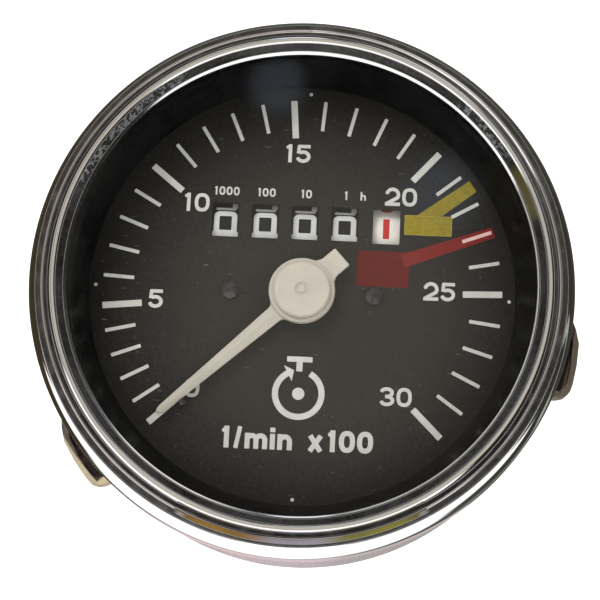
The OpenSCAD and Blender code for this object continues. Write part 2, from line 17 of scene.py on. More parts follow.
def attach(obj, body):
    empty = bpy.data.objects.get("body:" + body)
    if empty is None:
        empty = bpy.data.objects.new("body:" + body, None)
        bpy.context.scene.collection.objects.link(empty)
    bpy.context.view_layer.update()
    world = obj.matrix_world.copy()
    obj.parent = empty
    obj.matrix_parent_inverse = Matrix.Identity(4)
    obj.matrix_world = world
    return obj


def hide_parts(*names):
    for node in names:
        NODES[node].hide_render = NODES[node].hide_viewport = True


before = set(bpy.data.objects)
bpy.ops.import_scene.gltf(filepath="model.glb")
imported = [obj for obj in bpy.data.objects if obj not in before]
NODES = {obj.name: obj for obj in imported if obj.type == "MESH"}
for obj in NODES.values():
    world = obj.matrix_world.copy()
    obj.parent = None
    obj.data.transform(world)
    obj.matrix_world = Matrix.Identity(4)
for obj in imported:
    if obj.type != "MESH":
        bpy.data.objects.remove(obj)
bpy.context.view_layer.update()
MM = 0.001

# --------------------------------------------------------------------------
# Camera: below the axis, a little rolled, 120 mm lens on a 36 mm frame
# --------------------------------------------------------------------------
ROLL, TILT, PAN = math.radians(2.5), math.radians(-11.3), math.radians(-0.83)
CAM_T = Vector((0.41, 1.41, -408.7))
rot = (
    Matrix.Rotation(PAN, 3, "Y")
    @ Matrix.Rotation(TILT, 3, "X")
    @ Matrix.Rotation(-ROLL, 3, "Z")
)
to_world = Matrix(((1, 0, 0), (0, 0, -1), (0, 1, 0)))
cam_rot = to_world @ rot.transposed()
cam_loc = -(cam_rot @ CAM_T) * MM
cam_data = bpy.data.cameras.new("camera")
cam_data.sensor_width = 36.0
cam_data.sensor_fit = "HORIZONTAL"
cam_data.lens = 1989.0 / 600.0 * 36.0
cam_data.clip_start = 0.01
cam_data.clip_end = 50
cam = bpy.data.objects.new("camera", cam_data)
bpy.context.scene.collection.objects.link(cam)
cam.matrix_world = Matrix.Translation(cam_loc) @ cam_rot.to_4x4()
bpy.context.scene.camera = cam

# --------------------------------------------------------------------------
# Material nodes
# --------------------------------------------------------------------------


class Shade:
    """A small writer of node trees."""

    def __init__(self, name):
        self.mat = bpy.data.materials.new(name)
        self.mat.use_nodes = True
        self.nt = self.mat.node_tree
        self.nt.nodes.clear()
        self.out = self.nt.nodes.new("ShaderNodeOutputMaterial")
        self.co = self.add("ShaderNodeTexCoord").outputs["Object"]

    def add(self, kind, **props):
        n = self.nt.nodes.new(kind)
        for k, v in props.items():
            setattr(n, k, v)
        return n

    def put(self, sock, val):
        if isinstance(val, bpy.types.NodeSocket):
            self.nt.links.new(val, sock)
        else:
            sock.default_value = val

    def math(self, op, a, b=0.0, c=0.0, clamp=False):
        n = self.add("ShaderNodeMath", operation=op, use_clamp=clamp)
        self.put(n.inputs[0], a)
        self.put(n.inputs[1], b)
        if len(n.inputs) > 2:
            self.put(n.inputs[2], c)
        return n.outputs[0]

    def noise(self, per_mm, detail=4.0, rough=0.55, dist=0.0, co=None):
        n = self.add("ShaderNodeTexNoise")
        self.put(n.inputs["Vector"], co if co is not None else self.co)
        n.inputs["Scale"].default_value = per_mm * 1000
        n.inputs["Detail"].default_value = detail
        n.inputs["Roughness"].default_value = rough
        n.inputs["Distortion"].default_value = dist
        return n.outputs["Fac"]

    def cells(self, per_mm, feature="F1", rand=1.0):
        n = self.add("ShaderNodeTexVoronoi", feature=feature)
        self.put(n.inputs["Vector"], self.co)
        n.inputs["Scale"].default_value = per_mm * 1000
        n.inputs["Randomness"].default_value = rand
        return n

    def stretch(self, sx, sy, sz, rot=(0, 0, 0)):
        n = self.add("ShaderNodeMapping")
        self.put(n.inputs["Vector"], self.co)
        n.inputs["Scale"].default_value = (sx, sy, sz)
        n.inputs["Rotation"].default_value = rot
        return n.outputs["Vector"]

    def span(self, val, a, b, lo=0.0, hi=1.0, smooth=True):
        n = self.add("ShaderNodeMapRange")
        n.interpolation_type = "SMOOTHSTEP" if smooth else "LINEAR"
        n.clamp = True
        self.put(n.inputs["Value"], val)
        n.inputs["From Min"].default_value = a
        n.inputs["From Max"].default_value = b
        n.inputs["To Min"].default_value = lo
        n.inputs["To Max"].default_value = hi
        return n.outputs["Result"]

    def mix(self, fac, a, b, mode="MIX"):
        n = self.add("ShaderNodeMix", data_type="RGBA", blend_type=mode)
        self.put(n.inputs[0], fac)
        for s, v in ((n.inputs[6], a), (n.inputs[7], b)):
            if isinstance(v, (tuple, list)) and len(v) == 3:
                v = (*v, 1.0)
            self.put(s, v)
        return n.outputs[2]

    def bump(self, height, depth_mm, strength=1.0, normal=None):
        n = self.add("ShaderNodeBump")
        n.inputs["Strength"].default_value = strength
        n.inputs["Distance"].default_value = depth_mm * MM
        self.put(n.inputs["Height"], height)
        if normal is not None:
            self.put(n.inputs["Normal"], normal)
        return n.outputs["Normal"]

    def principled(self, color, rough, metal=0.0, normal=None, spec=0.5, ior=1.5, coat=0.0, coat_rough=0.1):
        b = self.add("ShaderNodeBsdfPrincipled")
        if isinstance(color, (tuple, list)) and len(color) == 3:
            color = (*color, 1.0)
        self.put(b.inputs["Base Color"], color)
        self.put(b.inputs["Roughness"], rough)
        self.put(b.inputs["Metallic"], metal)
        b.inputs["IOR"].default_value = ior
        b.inputs["Specular IOR Level"].default_value = spec
        b.inputs["Coat Weight"].default_value = coat
        b.inputs["Coat Roughness"].default_value = coat_rough
        if normal is not None:
            self.put(b.inputs["Normal"], normal)
        return b

    def done(self, shader):
        self.nt.links.new(shader.outputs[0], self.out.inputs["Surface"])
        return self.mat


def metal(name, c1, c2, r1, r2, patch=0.12, grain=3.0, depth=0.004, metallic=1.0, brush=None, stain=None):
    """Worked metal: two tones in soft patches, roughness that varies, fine grain."""
    s = Shade(name)
    big = s.noise(patch, 5.0, 0.6, 0.3)
    fine = s.noise(grain, 3.0, 0.6, co=s.stretch(*brush) if brush else None)
    col = s.mix(s.span(big, 0.35, 0.65), c1, c2)
    col = s.mix(s.span(fine, 0.3, 0.75, 0.0, 0.35), col, tuple(x * 0.6 for x in c1))
    rough = s.math("ADD", s.span(big, 0.3, 0.7, r1, r2), s.span(fine, 0.3, 0.7, -0.04, 0.06))
    met = metallic
    if stain:
        spots = s.span(s.noise(patch * 3.1, 6.0, 0.65, 0.5), 0.60, 0.72)
        col = s.mix(s.math("MULTIPLY", spots, 0.6), col, stain)
        rough = s.math("ADD", rough, s.math("MULTIPLY", spots, 0.2))
    return s.done(s.principled(col, rough, met, s.bump(fine, depth)))


def paint(name, c1, c2, r1, r2, patch=0.4, grain=6.0, depth=0.006, spec=0.5, coat=0.0, specks=None):
    """Paint or moulded plastic: slight tone changes and a fine orange peel."""
    s = Shade(name)
    big = s.noise(patch, 4.0, 0.6, 0.2)
    fine = s.noise(grain, 3.0, 0.55)
    col = s.mix(s.span(big, 0.3, 0.7), c1, c2)
    if specks:
        v = s.cells(specks[0])
        dot = s.span(v.outputs["Distance"], specks[1] * 0.5, specks[1], 1.0, 0.0)
        keep = s.span(s.noise(specks[0] * 0.37, 1.0), 0.52, 0.58)
        col = s.mix(s.math("MULTIPLY", s.math("MULTIPLY", dot, keep), specks[2]), col, specks[3])
    rough = s.math("ADD", s.span(big, 0.3, 0.7, r1, r2), s.span(fine, 0.3, 0.7, -0.05, 0.05))
    return s.done(s.principled(col, rough, 0.0, s.bump(fine, depth), spec=spec, coat=coat))


def chrome():
    """Bright plate: smooth, a few small pits, painted shade with some grime in the grooves and on the second bead's
    facet, a dark band on the inner flank holding a painted reflection of the yellow mark, and a painted reflection tint
    along the second bead.
    """
    s = Shade("chrome_plate")
    big = s.noise(0.05, 3.0, 0.5, 0.4)
    fine = s.noise(2.2, 3.0, 0.6)
    pits = s.cells(1.1)
    pit = s.math(
        "MULTIPLY",
        s.span(pits.outputs["Distance"], 0.05, 0.10, 1.0, 0.0),
        s.span(s.noise(0.24, 2.0), 0.60, 0.66),
    )
    sep = s.add("ShaderNodeSeparateXYZ")
    s.put(sep.inputs[0], s.co)
    r2 = s.math("ADD", s.math("MULTIPLY", sep.outputs[0], sep.outputs[0]), s.math("MULTIPLY", sep.outputs[2], sep.outputs[2]))
    rad = s.math("MULTIPLY", s.math("SQRT", r2), 1000.0)
    front = s.span(sep.outputs[1], -0.0118, -0.0124)

    def ring(r0, r1, soft, at=None):
        at = rad if at is None else at
        return s.math("MULTIPLY", s.span(at, r0 - soft, r0 + soft), s.span(at, r1 - soft, r1 + soft, 1.0, 0.0))

    turn = s.math("MULTIPLY", s.math("ARCTAN2", sep.outputs[0], s.math("MULTIPLY", sep.outputs[2], -1.0)), 180.0 / math.pi)
    clear = s.math("MULTIPLY", s.span(turn, -26.0, -22.5), s.span(turn, 28.0, 31.5, 1.0, 0.0))
    right = s.math("MULTIPLY", s.span(turn, 45.0, 85.0), s.span(turn, 165.0, 140.0))
    moved = s.math("ADD", rad, s.math("ADD", s.math("MULTIPLY", right, 0.32), s.math("MULTIPLY", clear, 0.22)))
    # painted shade: the second bead's facet and the two grooves are darkened in colour, partly grime, mostly standing
    # in for shade and dark reflections
    facet_painted_shade = s.math("MULTIPLY", ring(51.78, 53.02, 0.12), s.span(clear, 0.0, 1.0, 1.0, 0.0, False))
    grime_and_painted_shade = s.math("MAXIMUM", s.math("MAXIMUM", ring(50.48, 51.35, 0.10, moved), ring(52.46, 53.08, 0.12)), facet_painted_shade)
    grime_and_painted_shade = s.math("MULTIPLY", s.math("MULTIPLY", grime_and_painted_shade, front), s.span(s.noise(0.30, 5.0, 0.6), 0.25, 0.6, 0.95, 1.0))
    flank = s.math("MULTIPLY", s.math("MULTIPLY", ring(47.50, 48.86, 0.10), front), s.span(s.noise(0.08, 3.0, 0.5), 0.3, 0.7, 0.97, 1.0))
    worn = s.math("MULTIPLY", s.span(turn, -150.0, -138.0), s.span(turn, -108.0, -120.0))
    worn = s.math("MAXIMUM", worn, s.math("MULTIPLY", s.span(turn, 122.0, 128.0), s.span(turn, 142.0, 136.0)))
    worn = s.math("MULTIPLY", worn, s.span(s.noise(0.9, 4.0, 0.7), 0.50, 0.58))
    flank = s.math("MULTIPLY", flank, s.span(worn, 0.0, 1.0, 1.0, 0.20, False))
    # painted reflection: an olive patch standing for the yellow mark mirrored in the inner flank
    olive = s.math("MULTIPLY", s.span(turn, 106.0, 109.0), s.span(turn, 122.0, 119.0))
    # painted reflection: a tan tint along the second bead's crest, stronger on the left half and the bottom, weak on
    # the right
    tan = s.math("MULTIPLY", s.math("MULTIPLY", ring(51.35, 51.9, 0.10, moved), front), s.span(turn, 10.0, 60.0, 0.62, 0.12))
    col = s.mix(s.span(big, 0.35, 0.65), (0.86, 0.86, 0.87), (0.79, 0.79, 0.79))
    col = s.mix(s.math("MULTIPLY", pit, 0.6), col, (0.16, 0.12, 0.09))
    col = s.mix(tan, col, (0.42, 0.34, 0.29))
    mottle = s.span(s.noise(0.9, 4.0, 0.65), 0.35, 0.7)
    shade = s.mix(mottle, (0.010, 0.0095, 0.009), (0.030, 0.028, 0.023))
    # the olive patch is the painted reflection of the yellow mark
    shade = s.mix(s.math("MULTIPLY", olive, 0.8), shade, (0.085, 0.075, 0.020))
    col = s.mix(flank, col, shade)
    # painted shade in the grooves and on the facet, darker towards the bottom
    col = s.mix(s.math("MULTIPLY", grime_and_painted_shade, 0.985), col, s.mix(s.span(s.math("ABSOLUTE", turn), 62.0, 90.0), (0.009, 0.0065, 0.005), (0.026, 0.020, 0.014)))
    rough = s.span(s.noise(0.22, 4.0, 0.6), 0.35, 0.7, 0.030, 0.085)
    rough = s.math("ADD", rough, s.math("ADD", s.math("MULTIPLY", pit, 0.3), s.math("ADD", s.math("MULTIPLY", grime_and_painted_shade, 0.25), s.math("MULTIPLY", flank, 0.12))))
    nrm = s.bump(s.noise(0.06, 2.0, 0.5), 0.018)
    nrm = s.bump(fine, 0.0003, normal=nrm)
    dull = s.math("MAXIMUM", flank, grime_and_painted_shade)
    return s.done(s.principled(col, rough, s.span(dull, 0.0, 1.0, 1.0, 0.35, False), nrm, spec=0.25))


def case_plate():
    """Drawn can: bright plate, a painted dark line of shade where it turns over at the rear."""
    s = Shade("case_plate")
    big = s.noise(0.07, 5.0, 0.6, 0.3)
    fine = s.noise(1.2, 3.0, 0.6)
    sep = s.add("ShaderNodeSeparateXYZ")
    s.put(sep.inputs[0], s.co)
    col = s.mix(s.span(big, 0.35, 0.65), (0.80, 0.76, 0.78), (0.68, 0.64, 0.67))
    spots = s.span(s.noise(0.22, 6.0, 0.65, 0.5), 0.60, 0.72)
    col = s.mix(s.math("MULTIPLY", spots, 0.5), col, (0.46, 0.40, 0.37))
    # painted shade: a dark line round the rear corner of the can
    line = s.math("MULTIPLY", s.span(sep.outputs[1], 0.0382, 0.0392), s.span(sep.outputs[1], 0.0428, 0.0422))
    line = s.math("MULTIPLY", line, s.span(s.noise(0.12, 4.0, 0.6), 0.3, 0.6, 0.55, 0.95))
    col = s.mix(line, col, (0.09, 0.075, 0.065))
    rough = s.math("ADD", s.span(big, 0.3, 0.7, 0.18, 0.30), s.math("ADD", s.math("MULTIPLY", spots, 0.15), s.span(fine, 0.3, 0.7, -0.04, 0.06)))
    return s.done(s.principled(col, rough, 1.0, s.bump(fine, 0.006)))


def bracket_zinc():
    """Yellow plate gone tan, with painted shadow inside the feet, a painted highlight at the left foot's end and
    painted shade over the right half.
    """
    s = Shade("bracket_zinc")
    big = s.noise(0.13, 5.0, 0.6, 0.3)
    fine = s.noise(1.6, 3.0, 0.6)
    sep = s.add("ShaderNodeSeparateXYZ")
    s.put(sep.inputs[0], s.co)
    x, y, z = sep.outputs
    rad = s.math("MULTIPLY", s.math("SQRT", s.math("ADD", s.math("MULTIPLY", x, x), s.math("MULTIPLY", z, z))), 1000.0)
    col = s.mix(s.span(big, 0.35, 0.65), (0.72, 0.62, 0.42), (0.58, 0.49, 0.34))
    col = s.mix(s.span(s.noise(0.40, 6.0, 0.65, 0.5), 0.60, 0.72, 0.0, 0.6), col, (0.34, 0.26, 0.16))
    u = s.math("ABSOLUTE", s.math("ADD", s.math("MULTIPLY", x, 0.973), s.math("MULTIPLY", z, 0.232)))
    w = s.math("ABSOLUTE", s.math("SUBTRACT", s.math("MULTIPLY", z, 0.973), s.math("MULTIPLY", x, 0.232)))
    psi = s.math("MULTIPLY", s.math("ARCTAN2", w, u), 180.0 / math.pi)
    # painted highlight: a pale patch at the end of the left foot
    left = s.math("MULTIPLY", s.span(x, 0.0, -0.001), s.span(psi, 20.5, 17.5))
    inside = s.math("MULTIPLY", s.span(rad, 57.0, 56.6), s.span(y, 0.0095, 0.0085))
    inside = s.math("MULTIPLY", inside, s.math("MULTIPLY", s.span(psi, 14.8, 15.4), s.span(psi, 32.2, 31.6)))
    col = s.mix(s.math("MULTIPLY", left, 0.7), col, (0.86, 0.77, 0.52))
    # painted shade: the right half of the bracket made duller and darker
    col = s.mix(s.span(x, 0.0, 0.001, 0.0, 0.6), col, (0.36, 0.31, 0.27))
    # painted shadow: dark brown inside both feet, between the legs and the case
    foot_shadow = s.math("MULTIPLY", inside, s.span(s.noise(0.5, 4.0, 0.6), 0.3, 0.6, 0.85, 1.0))
    col = s.mix(foot_shadow, col, (0.040, 0.024, 0.022))
    rough = s.math("ADD", s.span(big, 0.3, 0.7, 0.26, 0.42), s.math("MULTIPLY", foot_shadow, 0.2))
    return s.done(s.principled(col, rough, s.span(foot_shadow, 0.0, 1.0, 1.0, 0.2, False), s.bump(fine, 0.008)))


def dial_black():
    """Satin black-brown enamel with a mottled grain and a few pale specks."""
    s = Shade("dial_enamel")
    cloud = s.noise(0.055, 5.0, 0.6, 0.4)
    mott = s.noise(1.25, 5.0, 0.65)
    grit = s.noise(6.5, 3.0, 0.6)
    col = s.mix(s.span(mott, 0.32, 0.70), (0.0130, 0.0122, 0.0106), (0.0240, 0.0220, 0.0190))
    col = s.mix(s.span(cloud, 0.35, 0.68, 0.0, 0.45), col, (0.014, 0.0125, 0.0105))
    v = s.cells(0.55)
    dot = s.span(v.outputs["Distance"], 0.030, 0.075, 1.0, 0.0)
    keep = s.span(s.noise(0.45, 2.0), 0.56, 0.60)
    col = s.mix(s.math("MULTIPLY", s.math("MULTIPLY", dot, keep), 0.55), col, (0.36, 0.34, 0.30))
    lint = s.span(s.noise(0.35, 2.0, 0.5, 0.0, co=s.stretch(1.0, 1.0, 6.0, (0, 0.7, 0))), 0.705, 0.73)
    col = s.mix(s.math("MULTIPLY", lint, 0.25), col, (0.30, 0.29, 0.26))
    rough = s.math("ADD", s.span(cloud, 0.3, 0.7, 0.42, 0.56), s.span(mott, 0.3, 0.7, -0.06, 0.08))
    n = s.bump(mott, 0.006)
    n = s.bump(grit, 0.0015, normal=n)
    return s.done(s.principled(col, rough, 0.0, n, spec=0.02))


def print_paint(name, c1, c2, worn=(0.07, 0.065, 0.055), wear=0.5, rough=(0.45, 0.6)):
    """Screen-printed colour: a little thin in places, with pin holes."""
    s = Shade(name)
    big = s.noise(0.35, 4.0, 0.6)
    fine = s.noise(5.0, 3.0, 0.6)
    col = s.mix(s.span(big, 0.3, 0.7), c1, c2)
    hole = s.math("MULTIPLY", s.span(fine, 0.66, 0.74), s.span(big, 0.45, 0.62, 0.2, 1.0))
    col = s.mix(s.math("MULTIPLY", hole, wear), col, worn)
    return s.done(s.principled(col, s.span(fine, 0.3, 0.7, rough[0], rough[1]), 0.0, s.bump(fine, 0.006), spec=0.15))


def film(name, c1, c2, edge, through):
    """Thin coloured film that lets a little of the dial through."""
    s = Shade(name)
    big = s.noise(0.30, 4.0, 0.6, 0.4)
    mott = s.noise(1.3, 5.0, 0.65)
    col = s.mix(s.span(big, 0.3, 0.7), c1, c2)
    col = s.mix(s.span(mott, 0.35, 0.7, 0.0, through), col, edge)
    n = s.bump(s.noise(3.0, 3.0), 0.006)
    return s.done(s.principled(col, s.span(big, 0.3, 0.7, 0.32, 0.44), 0.0, n, spec=0.12))


def clear_glass():
    """Flat pane: mostly clear, with a soft sheen that grows towards grazing."""
    s = Shade("clear_glass")
    lw = s.add("ShaderNodeLayerWeight")
    lw.inputs["Blend"].default_value = 0.5
    p = s.math("POWER", lw.outputs["Facing"], 5.0)
    fac = s.math("ADD", s.math("MULTIPLY", p, 0.9), 0.030)
    tr = s.add("ShaderNodeBsdfTransparent")
    tr.inputs["Color"].default_value = (0.985, 0.985, 0.980, 1)
    gl = s.add("ShaderNodeBsdfGlossy")
    gl.inputs["Color"].default_value = (1, 1, 1, 1)
    s.put(gl.inputs["Roughness"], s.span(s.noise(0.2, 4.0, 0.6), 0.4, 0.7, 0.008, 0.025))
    mx = s.add("ShaderNodeMixShader")
    s.put(mx.inputs[0], fac)
    s.nt.links.new(tr.outputs[0], mx.inputs[1])
    s.nt.links.new(gl.outputs[0], mx.inputs[2])
    return s.done(mx)


M = {
    "chrome": chrome(),
    "glass": clear_glass(),
    "dial": dial_black(),
    "rubber": paint("black_rubber", (0.016, 0.016, 0.016), (0.026, 0.025, 0.024), 0.55, 0.7, depth=0.02),
    "surround": paint("black_enamel", (0.0040, 0.0040, 0.0042), (0.0085, 0.0082, 0.0080), 0.26, 0.36, patch=0.1, depth=0.002, spec=0.08),
    "zinc": metal("bright_zinc", (0.74, 0.73, 0.74), (0.60, 0.59, 0.60), 0.22, 0.36, patch=0.10, grain=1.8, depth=0.006, stain=(0.42, 0.38, 0.33)),
    "case": case_plate(),
    "gold": metal("yellow_zinc", (0.78, 0.63, 0.34), (0.62, 0.50, 0.30), 0.24, 0.42, patch=0.13, grain=1.6, depth=0.008, stain=(0.34, 0.26, 0.16)),
    "bracket": bracket_zinc(),
    "diecast": metal("die_cast", (0.46, 0.46, 0.47), (0.36, 0.36, 0.37), 0.42, 0.58, patch=0.2, grain=2.6, depth=0.02),
    "brass": metal("brass_plate", (0.80, 0.60, 0.25), (0.66, 0.47, 0.20), 0.24, 0.40, patch=0.15, grain=2.0, depth=0.005, stain=(0.30, 0.21, 0.10)),
    "bronze": metal("bronze", (0.60, 0.36, 0.18), (0.46, 0.28, 0.15), 0.32, 0.48, patch=0.3, grain=3.0, depth=0.006),
    "steel": metal("steel", (0.60, 0.60, 0.61), (0.48, 0.48, 0.49), 0.18, 0.34, patch=0.3, grain=4.0, depth=0.004),
    "screw": paint("black_screw", (0.012, 0.012, 0.012), (0.022, 0.021, 0.020), 0.22, 0.34, depth=0.006, spec=0.65),
    "cream": paint("cream_paint", (0.455, 0.415, 0.352), (0.405, 0.375, 0.318), 0.36, 0.50, patch=0.16, grain=2.6, depth=0.010, spec=0.25, specks=(0.7, 0.07, 0.5, (0.30, 0.25, 0.16))),
    "print": print_paint("dial_print", (0.500, 0.490, 0.455), (0.440, 0.435, 0.400)),
    "drum": paint("black_drum", (0.005, 0.005, 0.005), (0.010, 0.0095, 0.009), 0.34, 0.46, depth=0.006, spec=0.25),
    "drum_print": print_paint("drum_figures", (0.56, 0.56, 0.54), (0.47, 0.47, 0.455), wear=0.3, rough=(0.24, 0.34)),
    "white": paint("white_drum", (0.70, 0.66, 0.60), (0.62, 0.585, 0.53), 0.34, 0.46, depth=0.008, spec=0.5),
    "red_print": print_paint("red_figures", (0.46, 0.030, 0.022), (0.36, 0.020, 0.016), worn=(0.55, 0.35, 0.30), wear=0.4),
    "cup": metal("aluminium_cup", (0.80, 0.80, 0.80), (0.70, 0.70, 0.70), 0.26, 0.4, patch=0.3, grain=3.0, depth=0.004),
    "magnet": metal("magnet", (0.20, 0.20, 0.21), (0.13, 0.13, 0.14), 0.5, 0.65, patch=0.4, grain=2.0, depth=0.03),
    "spring": metal("spring_bronze", (0.72, 0.46, 0.22), (0.58, 0.36, 0.18), 0.22, 0.34, patch=0.6, grain=5.0, depth=0.002),
    "yellow_film": film("yellow_film", (0.262, 0.205, 0.009), (0.228, 0.176, 0.007), (0.10, 0.075, 0.004), 0.45),
    "yellow_edge": film("yellow_film_edge", (0.33, 0.27, 0.040), (0.29, 0.24, 0.032), (0.18, 0.15, 0.02), 0.3),
    "red_film": film("red_film", (0.112, 0.004, 0.003), (0.092, 0.003, 0.0025), (0.050, 0.003, 0.0025), 0.6),
    "red_strip": film("red_film_strip", (0.182, 0.012, 0.009), (0.152, 0.010, 0.008), (0.085, 0.008, 0.007), 0.45),
    "pink_print": print_paint("tinted_print", (0.66, 0.45, 0.42), (0.58, 0.37, 0.34)),
}


def bulb_glass():
    s = Shade("bulb_glass")
    lw = s.add("ShaderNodeLayerWeight")
    lw.inputs["Blend"].default_value = 0.5
    fac = s.math("ADD", s.math("MULTIPLY", s.math("POWER", lw.outputs["Facing"], 3.0), 0.7), 0.12)
    tr = s.add("ShaderNodeBsdfTransparent")
    tr.inputs["Color"].default_value = (0.92, 0.93, 0.92, 1)
    gl = s.add("ShaderNodeBsdfGlossy")
    s.put(gl.inputs["Roughness"], s.span(s.noise(0.8), 0.3, 0.7, 0.03, 0.10))
    mx = s.add("ShaderNodeMixShader")
    s.put(mx.inputs[0], fac)
    s.nt.links.new(tr.outputs[0], mx.inputs[1])
    s.nt.links.new(gl.outputs[0], mx.inputs[2])
    return s.done(mx)


M["bulb"] = bulb_glass()

# --------------------------------------------------------------------------
# Mesh helpers (millimetres in, metres out)
# --------------------------------------------------------------------------


def add_piece(name, verts, faces, mat, body, slot, replaces=(), sharp=30.0, recalc=True):
    me = bpy.data.meshes.new(name)
    me.from_pydata([tuple(v) for v in (np.asarray(verts, float) * MM)], [], [tuple(f) for f in faces])
    me.validate()
    if recalc:
        bm = bmesh.new()
        bm.from_mesh(me)
        bmesh.ops.remove_doubles(bm, verts=bm.verts, dist=1e-7)
        bmesh.ops.recalc_face_normals(bm, faces=bm.faces)
        bm.to_mesh(me)
        bm.free()
    me.polygons.foreach_set("use_smooth", [True] * len(me.polygons))
    me.set_sharp_from_angle(angle=math.radians(sharp))
    me.materials.append(M[mat] if isinstance(mat, str) else mat)
    ob = bpy.data.objects.new(name, me)
    bpy.context.scene.collection.objects.link(ob)
    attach(ob, body)
    if replaces:
        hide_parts(*replaces)
    return ob


def catmull(pts, n=6, closed=False):
    """Smooth curve through the points."""
    p = np.asarray(pts, float)
    out = []
    k = len(p)
    last = k if closed else k - 1
    for i in range(last):
        p1, p2 = p[i], p[(i + 1) % k]
        p0 = p[i - 1] if (i > 0 or closed) else 2 * p1 - p2
        p3 = p[(i + 2) % k] if (i + 2 < k or closed) else 2 * p2 - p1
        for j in range(n):
            t = j / n
            out.append(
                0.5
                * (
                    2 * p1
                    + (p2 - p0) * t
                    + (2 * p0 - 5 * p1 + 4 * p2 - p3) * t * t
                    + (3 * p1 - p0 - 3 * p2 + p3) * t**3
                )
            )
    if not closed:
        out.append(p[-1])
    return [tuple(q) for q in out]


def filleted(pts, radii, n=5, closed=True):
    """Polygon with its corners rounded: radii is one number or one per corner."""
    p = np.asarray(pts, float)
    k = len(p)
    if not hasattr(radii, "__len__"):
        radii = [radii] * k
    out = []
    for i in range(k):
        a, b, c = p[i - 1], p[i], p[(i + 1) % k]
        r = radii[i]
        if r <= 0 or (not closed and i in (0, k - 1)):
            out.append(tuple(b))
            continue
        u, v = a - b, c - b
        lu, lv = np.linalg.norm(u), np.linalg.norm(v)
        u, v = u / lu, v / lv
        ang = math.acos(max(-1, min(1, float(u @ v))))
        if ang > math.radians(178):
            out.append(tuple(b))
            continue
        d = min(r / math.tan(ang / 2), lu * 0.49, lv * 0.49)
        s, e = b + u * d, b + v * d
        for j in range(n + 1):
            t = j / n
            out.append(tuple((1 - t) ** 2 * s + 2 * t * (1 - t) * b + t * t * e))
    return out


def lathe(profile, seg=192, axis=(0.0, 0.0)):
    """Closed (radius, y) outline revolved about Y through (x, z) = axis."""
    prof = np.asarray(profile, float)
    n = len(prof)
    a = np.linspace(0, 2 * math.pi, seg, endpoint=False)
    V = np.empty((seg, n, 3))
    V[:, :, 0] = axis[0] + np.cos(a)[:, None] * prof[None, :, 0]
    V[:, :, 1] = prof[None, :, 1]
    V[:, :, 2] = axis[1] + np.sin(a)[:, None] * prof[None, :, 0]
    F = []
    for i in range(seg):
        i2 = (i + 1) % seg
        for j in range(n):
            j2 = (j + 1) % n
            if prof[j][0] < 1e-6 and prof[j2][0] < 1e-6:
                continue
            F.append((i * n + j, i2 * n + j, i2 * n + j2, i * n + j2))
    return V.reshape(-1, 3), F


def lathe_x(profile, seg, cy, cz):
    """Closed (radius, x) outline revolved about X through (y, z)."""
    V, F = lathe(profile, seg)
    W = np.empty_like(V)
    W[:, 0] = V[:, 1]
    W[:, 1] = cy - V[:, 0]
    W[:, 2] = cz + V[:, 2]
    return W, F


class Heap:
    """Collects vertices and faces of several bits into one mesh."""

    def __init__(self):
        self.v, self.f, self.n = [], [], 0

    def add(self, V, F):
        V = np.asarray(V, float)
        self.v.append(V)
        self.f += [tuple(i + self.n for i in f) for f in F]
        self.n += len(V)

    def make(self, *args, **kw):
        name = args[0]
        return add_piece(name, np.vstack(self.v), self.f, *args[1:], **kw)


# ---- flat shapes by signed distance ----


def sd_box(X, Z, cx, cz, hx, hz, r=0.0, ang=0.0):
    c, s = math.cos(ang), math.sin(ang)
    dx, dz = X - cx, Z - cz
    u, v = np.abs(c * dx + s * dz) - hx + r, np.abs(-s * dx + c * dz) - hz + r
    return np.hypot(np.maximum(u, 0), np.maximum(v, 0)) + np.minimum(np.maximum(u, v), 0) - r


def sd_seg(X, Z, a, b, h, trim_a=0.0, trim_b=0.0):
    """Butt-ended bar from a to b of half width h."""
    a, b = np.array(a, float), np.array(b, float)
    L = np.linalg.norm(b - a)
    if L < 1e-9:
        return np.hypot(X - a[0], Z - a[1]) - h
    d = (b - a) / L
    a, L2 = a + d * trim_a, L - trim_a - trim_b
    m = a + d * L2 / 2
    return sd_box(X, Z, m[0], m[1], L2 / 2, h, 0.0, math.atan2(d[1], d[0]))


def sd_path(X, Z, pts, h, closed=False, rho=0.0, caps=(True, True)):
    """Stroke along a path: round at inner corners, flat at its two ends."""
    pts = [tuple(p) for p in pts]
    hh = h - rho
    d = np.full(X.shape, 1e9)
    k = len(pts)
    segs = k if closed else k - 1
    for i in range(segs):
        a, b = pts[i], pts[(i + 1) % k]
        ta = rho if (not closed and i == 0 and caps[0]) else 0.0
        tb = rho if (not closed and i == segs - 1 and caps[1]) else 0.0
        d = np.minimum(d, sd_seg(X, Z, a, b, hh, ta, tb))
    rng = range(k) if closed else range(1, k - 1)
    for i in rng:
        d = np.minimum(d, np.hypot(X - pts[i][0], Z - pts[i][1]) - hh)
    return d - rho


def arc(cx, cz, rx, rz, a0, a1, n=18):
    return [
        (cx + rx * math.cos(math.radians(a0 + (a1 - a0) * i / n)), cz + rz * math.sin(math.radians(a0 + (a1 - a0) * i / n)))
        for i in range(n + 1)
    ]


def superell(cx, cz, rx, rz, p=2.4, n=44):
    out = []
    for i in range(n):
        q = 2 * math.pi * i / n
        c, s = math.cos(q), math.sin(q)
        out.append((cx + rx * math.copysign(abs(c) ** (2 / p), c), cz + rz * math.copysign(abs(s) ** (2 / p), s)))
    return out


